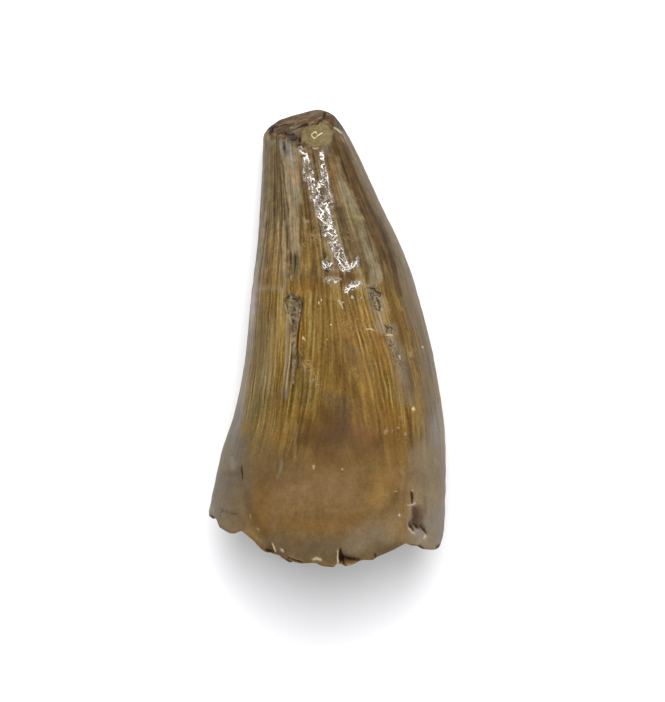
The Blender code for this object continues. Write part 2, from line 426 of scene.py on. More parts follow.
# Painted over the enamel in turn: tone, strength, softness of the edge (1 is softest), and
# the path with half widths. One point alone is a round dab.
PAINT = (
    # broad grounds of the upper part
    ("olive", 0.70, 1, ((271, 150, 5), (270, 185, 5), (269, 215, 4))),
    ("umber", 0.45, 1, ((277, 150, 2.6), (277.5, 190, 2.6), (279, 222, 2.4))),
    ("golden", 0.60, 1, ((272, 240, 6), (272, 265, 7), (275, 287, 7))),
    ("rust", 0.28, 1, ((270, 212, 2), (268, 240, 2), (267, 262, 2))),
    ("umber", 0.60, 1, ((304, 188, 5), (308, 205, 6), (309, 235, 7), (307, 258, 6))),
    ("golden", 0.55, 1, ((305, 262, 6), (314, 240, 5), (318, 250, 6), (312, 280, 7))),
    ("amber", 0.55, 1, ((302, 284, 5), (315, 286, 7), (326, 291, 7))),
    ("amber", 0.60, 1, ((334, 155, 5), (335, 175, 5), (338, 195, 4))),
    ("umber", 0.65, 0.9, ((341, 208, 3.6), (346, 228, 4.2), (352, 245, 4.6), (360, 262, 4.4))),
    ("bark", 0.85, 0.9, ((340, 143, 3.6), (347, 163, 4.6), (356, 186, 4.8), (364.5, 206, 5), (373, 228, 5.5), (381, 248, 5.5), (386, 262, 5))),
    ("umber", 0.45, 1, ((388, 275, 5), (393, 300, 5), (400, 325, 5), (406, 345, 4))),
    ("amber", 0.40, 1, ((352, 168, 2), (360, 186, 2), (369, 206, 2.2), (378, 230, 2.4), (387, 258, 2.6), (393, 290, 3))),
    # pale ridge on the left
    ("sand", 0.92, 0.8, ((289.5, 150, 4.2), (291.5, 170, 5.0), (293.5, 190, 5.4), (294, 205, 4.4))),
    ("rosy", 0.75, 0.9, ((297, 152, 2.8), (298.5, 170, 3.2), (297, 186, 2.6))),
    ("moss", 0.75, 0.8, ((297, 190, 5), (296, 199, 6))),
    ("sand", 0.85, 0.7, ((281, 142, 1.5), (284, 156, 1.9), (285.8, 166, 2.0), (286.6, 182, 1.9), (288.8, 200, 1.9), (290, 215, 2))),
    ("sand", 0.90, 0.8, ((293, 203, 4), (294, 225, 5), (294.5, 243, 4.6), (293, 252, 2.5))),
    ("sand", 0.55, 0.9, ((284.5, 222, 1.9), (284, 245, 2.2), (284.5, 270, 2.2), (284, 286, 2))),
    ("grey", 0.50, 1, ((295, 250, 4), (295, 262, 4), (293, 274, 3))),
    # pale band on the right
    ("moss", 0.55, 1, ((337, 160, 3), (340, 172, 3.4), (342, 182, 3.6))),
    ("moss", 0.85, 0.7, ((340, 180, 2.6), (344, 190, 4.2), (350, 201, 5), (354, 212, 4.6))),
    ("sand", 0.75, 0.8, ((350, 193, 2.6), (353, 201, 2.8))),
    ("moss", 0.80, 0.8, ((355, 210, 4.6), (362, 228, 5.4), (367, 246, 5.6), (371, 260, 5))),
    ("straw", 0.60, 0.8, ((351.5, 211, 1.2), (355, 224, 1.3))),
    ("sand", 0.70, 0.8, ((358, 208, 1.6), (362, 220, 1.6), (366, 234, 1.4))),
    ("sand", 0.85, 0.8, ((357.5, 229, 1.4), (360.5, 240, 1.6), (364, 250, 1.8), (367.5, 259, 2))),
    ("slate", 0.40, 1, ((364, 232, 2), (369, 250, 2.4))),
    ("umber", 0.60, 0.9, ((342, 176, 0.9), (347.5, 188, 1.1), (352, 200, 1.0), (357, 212, 0.9))),
    ("umber", 0.50, 0.9, ((346, 200, 0.9), (351, 214, 1.1), (357, 230, 1.2), (361, 244, 1.0), (364, 256, 1.0))),
    ("bark", 0.50, 0.9, ((364, 222, 0.9), (369, 238, 1.2), (373, 252, 1.1), (376, 262, 0.8))),
    ("umber", 0.40, 0.9, ((359, 206, 0.8), (364, 216, 0.9), (368, 228, 0.9))),
    ("chalk", 0.45, 0.9, ((345, 184, 0.8), (350, 196, 1.0), (355, 206, 0.8))),
    ("chalk", 0.35, 0.9, ((362, 232, 0.8), (366, 244, 0.9), (370, 254, 0.8))),
    # dark lines of the upper part
    ("dark", 0.75, 0.9, ((280.8, 156, 0.8), (283.8, 171, 0.9), (284.6, 183, 0.8), (286.4, 195, 0.9), (287.6, 208, 0.9), (289, 217, 0.7))),
    ("dark", 0.65, 0.9, ((281.4, 222, 0.7), (281, 240, 0.8), (281, 254, 0.7))),
    ("dark", 0.75, 0.9, ((287.8, 222, 0.8), (287.4, 236, 0.9), (287.8, 247, 0.8))),
    ("umber", 0.75, 0.9, ((281.6, 262, 0.8), (282, 276, 1.2), (282.5, 288, 0.8))),
    ("dark", 0.60, 0.9, ((267.5, 246, 0.8), (267, 258, 0.9), (266.5, 268, 0.6))),
    ("dark", 0.55, 0.9, ((300.4, 170, 0.8), (301.2, 180, 1.1), (300.4, 192, 0.8))),
    ("umber", 0.75, 0.9, ((302, 205, 1.4), (301.4, 216, 1.6), (300.6, 228, 1.4), (301, 245, 1.3))),
    ("dark", 0.55, 0.9, ((301, 275, 1.2), (302, 286, 1.0))),
    ("dark", 0.50, 0.9, ((309.5, 270, 1.0), (310, 288, 1.0))),
    ("dark", 0.55, 0.9, ((316.5, 268, 1.2), (317.5, 284, 1.0))),
    ("dark", 0.85, 0.9, ((344.5, 148, 1.6), (348.5, 157, 1.7), (351.5, 164, 1.6), (356, 174, 1.5), (360.5, 184, 1.3))),
    ("dark", 0.80, 0.9, ((362, 190, 1.2), (366, 200, 1.4), (370.5, 207, 1.2), (374, 215, 1.4), (378.5, 226, 1.6), (381, 233, 1.2))),
    ("dark", 0.85, 0.9, ((383, 238, 1.5), (388.5, 250, 2.0), (391.5, 259, 1.8), (394, 270, 1.6))),
    ("dark", 0.70, 0.9, ((341, 162, 1.0), (343.5, 169, 1.3), (347, 176, 1.1))),
    ("dark", 0.75, 0.9, ((350.5, 179, 1.3), (354, 188, 1.8), (356.5, 196, 1.4))),
    ("dark", 0.70, 0.9, ((357.5, 201, 1.0), (361.5, 209, 1.4), (365, 218, 1.2), (369, 228, 1.6), (373, 237, 1.3))),
    ("umber", 0.80, 1, ((377, 235, 2.2), (380, 244, 2.6), (384, 254, 2.2))),
    ("dark", 0.65, 0.9, ((334, 197, 1.0), (338, 212, 1.0), (342, 224, 1.4), (346, 235, 1.3))),
    ("dark", 0.60, 0.9, ((347, 226, 1.0), (350, 236, 1.2), (351.5, 243, 0.9))),
    ("dark", 0.60, 0.9, ((392.5, 274, 1.2), (395.5, 285, 1.4), (398.5, 296, 1.6), (401, 305, 1.0))),
    ("dark", 0.60, 0.9, ((397.5, 278, 0.8), (400.5, 288, 1.0), (404.5, 300, 1.2), (407, 308, 0.9))),
    ("umber", 0.70, 0.9, ((402, 312, 1.2), (405.5, 322, 1.6), (407, 330, 1.0))),
    ("umber", 0.75, 0.9, ((411.5, 338, 1.4), (413.5, 346, 1.5))),
    ("dark", 0.50, 0.9, ((413.5, 358, 1.1), (415.5, 365, 1.3), (416.5, 371, 0.8))),
    ("straw", 0.35, 0.9, ((384, 262, 1.2), (389, 276, 1.2), (394, 292, 1.2), (399, 308, 1.2))),
    # about the wrinkled coat
    ("rust", 0.70, 0.9, ((334.5, 257, 1.6), (335.5, 268, 1.6))),
    ("rust", 0.65, 1, ((324, 274.5, 2.4), (333, 273.5, 2.2), (345, 276, 2.6), (357, 276, 2.4))),
    ("rust", 0.55, 1, ((346.5, 256, 2.2), (349.5, 262, 2.0), (344, 284, 2.0))),
    ("umber", 0.55, 1, ((355, 245, 4), (360, 262, 3), (366, 275, 2.6))),
    ("rosy", 0.50, 1, ((336, 197, 2), (338.5, 204, 2))),
    ("rust", 0.40, 1, ((305, 206, 2.4), (306.5, 214, 2.4))),
    ("sand", 0.75, 0.8, ((299, 216.2, 0.9), (303, 218, 1.1))),
    ("sand", 0.75, 0.8, ((303.5, 220.2, 1.0), (308, 221.8, 1.0))),
    ("soot", 0.50, 0.9, ((301.6, 221, 0.9), (301.8, 223, 0.7))),
    ("straw", 0.50, 1, ((315, 235, 2.2), (323, 240, 2.2), (327, 247, 2.2))),
    ("straw", 0.50, 1, ((303, 266, 3), (307, 270, 3))),
    # line of growth, seen most on the left
    ("sand", 0.50, 1, ((257, 289, 2), (266, 287.5, 2.6), (277, 288.5, 3.4), (285, 290, 3))),
    ("straw", 0.22, 1, ((303, 294, 3), (330, 297, 4), (356, 300, 4))),
    # middle of the crown
    ("umber", 0.35, 1, ((258, 305, 4), (262, 330, 5), (258, 365, 5))),
    ("straw", 0.45, 1, ((274, 320, 5), (271, 350, 6), (266, 385, 6))),
    ("golden", 0.60, 1, ((310, 315, 7), (325, 320, 10), (340, 330, 10))),
    ("amber", 0.65, 1, ((378, 338, 4.5), (379, 350, 5), (384, 368, 4))),
    ("golden", 0.60, 1, ((352, 350, 8), (364, 368, 9), (374, 392, 8))),
    ("umber", 0.30, 1, ((330, 350, 5), (334, 372, 6), (332, 392, 6))),
    ("slate", 0.40, 1, ((327, 398, 6), (340, 404, 9), (346, 418, 8))),
    ("umber", 0.60, 1, ((302.4, 345, 2.4), (302.2, 356, 2.6), (301, 366, 2))),
    ("dark", 0.55, 0.9, ((297.6, 330, 0.8), (297.8, 350, 0.9), (297.4, 371, 0.7))),
    ("sand", 0.60, 0.9, ((287, 316, 1.6), (287.6, 335, 2.2), (287.6, 355, 2.4), (287, 378, 2.4), (286, 398, 1.6))),
    ("sand", 0.30, 1, ((297, 360, 2), (306, 371, 2), (316, 384, 2.4))),
    # knobbly band on the right
    ("sand", 0.92, 0.35, ((373, 265, 4.4), (375.5, 272, 5.6), (374.5, 280, 5.4), (373, 285.5, 3.6))),
    ("sand", 0.90, 0.4, ((377.5, 272, 3.6), (379.5, 279, 3.4))),
    ("moss", 0.50, 0.9, ((372, 272, 2), (376, 280, 2.4))),
    ("dove", 0.85, 0.7, ((372, 290, 4.6), (376, 299, 6.4), (378, 309, 5.4))),
    ("moss", 0.70, 0.7, ((369, 286, 3), (374, 293, 5), (379, 303, 5.4), (380, 312, 4))),
    ("ash", 0.55, 0.8, ((373.6, 291, 1.6), (377, 295, 1.8), (376, 301, 1.6))),
    ("sand", 0.60, 0.8, ((383, 300, 3), (386, 312, 3.4))),
    ("sand", 0.90, 0.6, ((379, 311, 5), (381, 322, 5.4), (383, 331, 4))),
    ("sand", 0.55, 0.8, ((378.5, 324, 2.2), (381, 330, 2.0))),
    ("dove", 0.85, 0.8, ((391, 328, 4.6), (392, 341, 5), (397, 350, 5.8), (401, 362, 5.8), (405, 380, 5))),
    ("dove", 0.60, 1, ((404, 370, 6), (408, 385, 6), (411, 400, 6))),
    ("rosy", 0.35, 1, ((396, 372, 4), (401, 384, 4), (405, 396, 4))),
    ("straw", 0.50, 0.9, ((387, 350, 1.6), (391, 364, 1.6), (396, 384, 1.6), (399, 404, 1.4))),
    ("umber", 0.40, 1, ((407, 364, 2.5), (411, 384, 3), (413, 402, 3))),
    ("slate", 0.28, 1, ((417, 350, 4), (424, 375, 4), (428, 398, 4))),
    # lower part
    ("rust", 0.36, 1, ((312, 432, 9), (318, 448, 11), (332, 452, 10))),
    ("umber", 0.60, 0.9, ((303, 420, 6), (325, 430, 11), (350, 438, 9), (364, 450, 7))),
    ("bark", 0.45, 1, ((318, 412, 5), (330, 422, 8), (344, 428, 6))),
    ("cocoa", 0.85, 1, ((302, 438, 8), (322, 436, 11), (344, 432, 12), (362, 438, 11), (376, 446, 8))),
    ("cocoa", 0.60, 1, ((326, 414, 8), (342, 414, 8))),
    ("honey", 0.55, 1, ((318, 462, 10), (346, 462, 10))),
    ("amber", 0.75, 1, ((386, 412, 5), (386, 428, 7), (392, 444, 7), (397, 456, 5))),
    ("amber", 0.40, 1, ((352, 425, 7), (366, 440, 9))),
    ("golden", 0.50, 1, ((384, 466, 9), (380, 480, 12), (378, 496, 12))),
    ("golden", 0.35, 1, ((268, 425, 8), (262, 446, 9))),
    ("amber", 0.70, 1, ((256, 486, 8), (262, 500, 13), (258, 518, 11), (265, 535, 8))),
    ("umber", 0.55, 0.8, ((246, 492, 3), (250, 512, 4), (260, 530, 5), (270, 545, 5))),
    ("rosy", 0.55, 1, ((292, 493, 12), (318, 494, 16), (345, 492, 13))),
    ("rosy", 0.40, 1, ((290, 472, 9), (315, 476, 9), (345, 476, 9))),
    ("straw", 0.30, 1, ((289, 507, 1.4), (300, 511, 1.6), (318, 513, 1.8), (338, 511, 1.6))),
    ("amber", 0.45, 1, ((285, 522, 6), (310, 526, 7), (338, 524, 7), (360, 516, 6))),
    ("khaki", 0.80, 0.9, ((262, 540, 5), (276, 544, 7), (290, 548, 9), (312, 552, 11), (336, 550, 11))),
    ("dove", 0.55, 0.9, ((352, 548, 9), (374, 543, 9), (392, 538, 8))),
    ("dove", 0.50, 1, ((355, 536, 9), (372, 530, 10), (390, 526, 9))),
    ("umber", 0.30, 1, ((368, 548, 4), (384, 545, 4))),
    ("rosy", 0.30, 1, ((395, 470, 5), (399, 484, 5))),
    ("straw", 0.70, 0.7, ((296.4, 424, 1.6), (295.4, 438, 1.8), (294.6, 457, 1.2))),
    ("straw", 0.40, 0.8, ((287.5, 410, 1.2), (286.5, 432, 1.2))),
    ("dark", 0.30, 1, ((298.6, 436, 1.0), (297.8, 452, 1.0))),
    # the sides, where the surface turns away. Their ash, grey and dove are partly the crown's own grey and partly
    # painted reflection of the pale floor in the gloss.
    ("ash", 0.45, 1, ((264, 146, 4), (261, 200, 4.5), (257.5, 250, 5), (253, 295, 6), (247, 345, 7), (241, 392, 7), (234, 425, 7))),
    ("slate", 0.35, 0.9, ((267.5, 150, 1.2), (266, 190, 1.2), (263.5, 225, 1.2))),
    ("fawn", 0.92, 0.45, ((349, 137, 3.2), (351.5, 145, 3.8), (357.5, 165, 5.0), (366.5, 190, 5.4), (377, 214, 6.2), (388, 237, 7.2), (397.5, 256, 7.6), (404, 276, 8.4), (410.5, 297, 9), (416, 318, 9))),
    ("dove", 0.50, 1, ((358, 160, 1.6), (372, 190, 1.8), (384, 216, 2.2), (398, 246, 2.4), (408, 274, 2.6), (417, 306, 3))),
    ("bark", 0.92, 0.8, ((344, 143, 1.5), (349, 157, 1.8), (353, 168, 1.8), (358, 180, 1.7), (362.5, 190, 1.7), (367, 200, 1.8), (372, 210, 1.8), (377.5, 222, 2.2), (382, 231, 2.8), (386.5, 241, 2.6), (390.5, 253, 2.4), (394, 267, 2.0), (397, 280, 1.6), (401, 296, 1.6))),
    ("dark", 0.80, 0.8, ((380, 226, 1.2), (384, 236, 1.6), (387, 246, 1.2))),
    ("dark", 0.80, 0.8, ((389.6, 253, 1.4), (392.6, 261, 1.7), (395, 269, 1.2))),
    ("ash", 0.40, 0.9, ((365, 170, 1.2), (378, 198, 1.4), (392, 228, 1.6), (404, 256, 1.6), (413, 282, 1.6), (421, 312, 1.5), (428, 340, 1.4), (433, 366, 1.4), (437.5, 395, 1.6))),
    ("grey", 0.62, 1, ((421, 330, 8), (428, 365, 9), (431, 395, 9), (431, 420, 9))),
    ("fawn", 0.55, 1, ((426, 424, 10), (425, 440, 12))),
    ("dove", 0.80, 0.35, ((441, 404, 2.5), (439, 424, 6), (435, 443, 13), (430, 462, 20), (431, 490, 24), (431, 520, 23), (432, 545, 19))),
    ("grey", 0.85, 1, ((238, 410, 6), (234, 430, 8), (230, 446, 11), (226, 468, 17), (219, 492, 25), (215, 512, 28))),
    ("slate", 0.35, 1, ((240, 440, 8), (243, 462, 8), (244, 484, 8))),
    ("ash", 0.45, 1, ((225, 440, 3), (219, 462, 3), (213, 488, 4), (210, 508, 4))),
    ("ash", 0.50, 1, ((445, 440, 4), (447, 480, 4), (445, 515, 4), (442, 540, 3))),
    ("moss", 0.35, 1, ((412, 540, 8), (425, 542, 8))),
    ("slate", 0.30, 1, ((228, 480, 8), (226, 494, 7))),
    # small marks of the lower part
    ("ash", 0.65, 0.8, ((231, 459, 1.6), (233.5, 464, 2.8), (232, 468, 2))),
    ("slate", 0.70, 0.9, ((224, 473, 1.6), (231, 473.5, 2.4), (238, 474, 2.2), (242, 472.5, 2))),
    ("soot", 0.45, 0.9, ((241.5, 466, 1.0), (242.4, 474, 1.1), (242.8, 479, 0.9))),
    ("dark", 0.35, 0.9, ((222, 510.5, 0.9), (230, 513, 1.0), (239, 515, 0.9))),
    ("sand", 0.65, 0.8, ((282, 461, 1.0), (280.5, 468, 1.5), (279, 474, 1.0), (275.8, 478, 1.0))),
    ("slate", 0.55, 0.9, ((278, 455, 0.8), (277.5, 466, 1.0), (277, 474, 0.8))),
    ("slate", 0.50, 0.9, ((284.5, 458, 0.9), (284, 470, 0.9))),
    ("umber", 0.45, 0.9, ((249, 516, 1.0), (250, 524, 1.0))),
    ("tan", 0.60, 0.8, ((251, 515, 1.2), (249.4, 522, 1.2))),
    ("tan", 0.60, 0.7, ((255.5, 529, 1.4), (259.5, 530, 1.4))),
    ("umber", 0.45, 1, ((394, 500, 3), (397, 492, 2))),
    ("umber", 0.80, 0.9, ((411.4, 491, 0.8), (412, 497, 1.5), (412.6, 503, 1.0))),
    ("chalk", 0.50, 0.8, ((407.5, 505, 0.7), (412.5, 504.6, 0.8), (415.4, 503.4, 0.7))),
    ("plum", 0.90, 1, ((415, 507, 2.6), (418, 514, 4.0), (417, 521, 5.0))),
    ("bark", 0.50, 1, ((414, 512, 2.0), (415, 519, 3.0))),
    ("dark", 0.62, 1, ((414, 510, 2.0), (416, 517, 2.8), (414.6, 523, 2.6))),
    ("umber", 0.45, 1, ((419, 508, 2), (421, 518, 2.6))),
    ("bark", 0.70, 1, ((412.6, 521, 2.6), (417, 524, 3.0), (422, 526.6, 2.2))),
    ("plum", 0.45, 1, ((424, 498, 2), (425, 512, 2.4))),
    ("soot", 0.75, 0.9, ((410.4, 523.6, 1.2), (411.8, 527, 1.4), (413.8, 530, 1.1))),
    ("soot", 0.75, 0.9, ((416.4, 525.4, 1.1), (418.4, 528, 1.2))),
    ("soot", 0.75, 0.9, ((421.8, 526, 1.2), (424, 529.5, 1.3), (425.6, 533.5, 1.1))),
    ("chalk", 0.70, 0.6, ((409.2, 528.8, 0.9), (411.6, 531.6, 0.9), (414, 533, 0.7))),
    ("ash", 0.60, 0.7, ((415.4, 529, 1.0), (419, 531.5, 1.8), (421.5, 535, 2))),
    ("sand", 0.80, 0.5, ((418, 543.4, 1.6), (420.6, 540, 2.4), (423, 537, 2.6))),
    ("chalk", 0.70, 0.5, ((424, 536.4, 1.6), (423.6, 538.4, 1.5))),
    ("ash", 0.60, 0.7, ((438.6, 539, 1.4), (438.4, 543, 1.4))),
    ("ash", 0.70, 0.5, ((434.6, 459, 0.9), (437.6, 462, 1.6), (440.6, 466, 1.4), (441.6, 471, 0.8))),
    # along the broken edge. The soot and dark marks on its line, and the bark in the notch, are mostly painted shade:
    # the underside and the hollow where they show past the edge.
    ("soot", 0.85, 0.7, ((210.6, 516, 1.0), (213, 518.2, 0.9))),
    ("ash", 0.50, 0.8, ((212.5, 509, 1.6), (213.5, 515, 1.2))),
    ("slate", 0.60, 0.9, ((220, 525.5, 1.0), (227, 531, 1.0), (235, 533.4, 1.1), (239, 531.6, 0.9))),
    ("umber", 0.45, 0.9, ((247, 533.5, 1.2), (255, 540, 1.2), (262, 546.4, 1.3))),
    ("dark", 0.80, 0.7, ((266.2, 549.6, 1.2), (270, 551, 1.7), (273.4, 550.8, 1.4))),
    ("umber", 0.60, 0.9, ((269, 544, 1.5), (271.5, 548, 1.8))),
    ("cream", 0.75, 0.5, ((272, 544, 0.7), (273.8, 547.4, 0.8), (275.2, 550.6, 0.7))),
    # painted highlights: cream glints below the wrinkled coat
    ("cream", 0.55, 0.8, ((327, 280, 2.6), (332, 281, 3.0), (338, 280, 2.2))),
    ("cream", 0.35, 0.8, ((347, 290, 3.6), (354, 286, 3.6), (361, 282, 2.4))),
    ("straw", 0.45, 0.8, ((339, 300, 1.6), (341.6, 306, 1.6))),
    ("slate", 0.75, 0.6, ((277, 551.6, 1.6), (281, 553, 1.7), (284.4, 554.6, 1.2))),
    ("chalk", 0.70, 0.5, ((280.6, 548.8, 0.9), (283, 550.6, 0.9))),
    ("sand", 0.60, 0.7, ((288.6, 556.2, 0.8), (296, 559, 0.9), (303, 562.2, 0.8))),
    ("sand", 0.80, 0.4, ((313, 559.6, 1.6), (317, 558.4, 2.0), (320.6, 559.6, 1.7))),
    ("tan", 0.60, 0.7, ((322, 561.6, 1.2), (330, 564, 1.2), (336, 564.6, 1.2))),
    ("sand", 0.85, 0.5, ((337.9, 551, 0.8), (338.0, 565, 0.9))),
    ("bark", 0.85, 0.7, ((343.6, 559, 2.6), (349, 560.6, 2.6), (355, 560.6, 2.0), (360, 560, 1.2))),
    ("tan", 0.55, 0.8, ((346, 564.8, 1.2), (354, 563.8, 1.2), (359, 561.6, 0.9))),
    # painted highlight on the lower lip of the notch
    ("chalk", 0.90, 0.4, ((349, 565.6, 1.2), (353, 565.2, 1.1))),
    ("soot", 0.85, 0.6, ((375.4, 554, 0.9), (375.8, 558.6, 1.3))),
    ("tan", 0.60, 0.9, ((379, 555.4, 1.2), (392, 550, 1.3), (402, 545, 1.2))),
    # painted highlight on the broken edge
    ("chalk", 0.55, 0.7, ((404.5, 544, 0.9), (408, 543.6, 0.8))),
    ("soot", 0.90, 0.6, ((412, 545.2, 0.9), (418, 546, 1.0), (423.6, 548.6, 1.0))),
    ("soot", 0.85, 0.6, ((437.2, 547, 1.4), (439.4, 546, 1.3))),
    # the tip
    ("moss", 0.60, 1, ((268, 139, 3), (272, 142, 3))),
    ("ash", 0.80, 0.8, ((280, 140, 1.6), (282, 150, 1.4), (283, 158, 1.2))),
    ("ash", 0.90, 0.8, ((287, 142, 3.0), (289.5, 151, 4.2), (291, 160, 4.0))),
    ("umber", 0.60, 0.9, ((271, 137, 1.6), (278, 138, 1.4))),
    ("umber", 0.95, 0.6, ((279, 131.5, 3.0), (284, 130.4, 3.4), (288, 128.6, 2.4))),
    ("bark", 0.90, 0.7, ((281, 126.4, 1.2), (288, 125.6, 1.6), (293.6, 125, 1.4))),
    ("dark", 0.85, 0.7, ((284.6, 132.6, 1.6), (287, 133.4, 1.6))),
    ("rosy", 0.85, 0.7, ((277, 123.4, 1.4), (286, 121.4, 1.7), (293, 120.4, 1.5))),
    ("rosy", 0.85, 0.7, ((295, 121.8, 1.2), (302, 119.8, 1.5), (308, 118, 1.2))),
    ("ash", 0.75, 0.7, ((298, 117.4, 1.3), (305, 114.8, 1.5), (312, 113.4, 1.5), (318, 113, 1.2))),
    ("rosy", 0.70, 0.7, ((311, 116.6, 1.2), (316, 115.4, 1.3), (321, 114.8, 1.2))),
    ("rust", 0.75, 0.8, ((298.6, 123, 1.4), (306, 121.6, 1.5), (315, 119.6, 1.5))),
    ("rosy", 0.75, 0.8, ((274.6, 130.6, 1.4), (275.4, 134.2, 1.4))),
    ("bark", 0.85, 0.8, ((277, 134, 1.0), (287, 132.6, 1.3), (294, 128.8, 1.2), (298.8, 126.8, 1.2), (302.4, 125.0, 1.2), (309.6, 123.8, 1.0), (316.8, 123.2, 0.9), (318.8, 120.8, 1.0), (321.8, 118.4, 1.0), (324.6, 115.4, 1.6))),
    ("plum", 1.0, 0.5, ((271, 133.4, 2.6), (272.6, 129.6, 3.4), (276, 126.8, 2.2))),
    ("soot", 0.80, 0.8, ((271.6, 132, 1.8), (273.2, 128.6, 2.2), (276, 127, 1.4))),
    ("slate", 0.92, 0.6, ((290.5, 132.5, 3.2), (292.5, 137.5, 5.2), (296.4, 141.2, 3.6))),
    ("slate", 0.75, 0.8, ((298, 131, 2.6), (299.6, 136, 1.8))),
    ("soot", 0.45, 1, ((291, 133, 3.2), (295, 137, 4.4), (298.6, 139.6, 2.4))),
    ("soot", 0.50, 1, ((300.6, 128.6, 1.6), (301, 134, 1.6))),
    ("ash", 0.60, 0.8, ((289.6, 131.6, 1.0), (293.6, 130.8, 1.2))),
    ("ash", 0.50, 0.8, ((298.6, 131, 1.4), (300.6, 128.6, 1.2))),
    ("soot", 0.80, 0.7, ((289, 134.4, 0.9), (292.6, 134.0, 1.1), (294.8, 134.8, 0.7))),
    ("plum", 0.60, 0.9, ((289, 138, 1.4), (294, 138.6, 1.6))),
    ("rust", 0.70, 0.8, ((277, 131.6, 2.0), (282, 131, 2.2), (285.6, 134.6, 1.6))),
    ("ash", 0.65, 0.8, ((290.6, 130.6, 0.9), (294, 131, 1.0), (297, 130.2, 0.9))),
    ("rosy", 0.80, 0.8, ((273.6, 133.4, 0.9), (274.6, 129.8, 0.9))),
    ("umber", 0.90, 0.7, ((327, 117.4, 2.4), (332, 120.4, 3.0), (332, 125, 2.4))),
    ("tan", 0.80, 0.8, ((320, 122.6, 2.2), (325, 123.6, 2.6), (330, 126, 2.2))),
    ("straw", 0.65, 0.8, ((320.4, 123.4, 1.6), (324, 125.4, 2.4), (328, 126, 2))),
    ("umber", 0.70, 0.9, ((329, 116.4, 2.0), (334, 119.6, 1.8))),
    ("umber", 0.45, 0.9, ((330, 126.5, 1.6), (333, 126, 1.4))),
    ("plum", 1.0, 0.5, ((337.4, 120, 1.8), (339.6, 124.6, 2.6), (341.6, 129, 2.2))),
    ("chalk", 0.95, 0.4, ((334.4, 127.4, 0.7), (338, 130.2, 1.0), (341.4, 132.4, 0.8))),
    ("ash", 0.60, 0.7, ((342, 132, 1.2), (346, 138, 1.4))),
    ("grey", 0.75, 0.8, ((328, 144, 2.6), (324.5, 149.5, 3.2), (327.5, 152.5, 2.2))),
    ("umber", 0.80, 0.9, ((334, 135, 2.0), (335, 144, 3.2), (336, 153, 3))),
    ("bark", 0.60, 1, ((331, 147, 2.6), (328, 151, 2.4))),
    ("soot", 0.90, 0.5, ((299.4, 138.8, 0.9), (300.4, 141.4, 1.0))),
    ("soot", 0.90, 0.5, ((298.4, 144.9, 0.9), (300.6, 144.9, 0.9))),
    ("rosy", 0.75, 0.9, ((306, 149.4, 2.2), (311, 151.2, 2.4))),
    ("rust", 0.45, 0.9, ((315, 151, 1.6), (319, 150.4, 1.4))),
    # painted highlight: the crescent glint at the worn face's lower edge
    ("sand", 0.90, 0.5, ((313, 148.6, 0.7), (315.6, 148.9, 0.8), (318.2, 147.6, 0.7))),
)
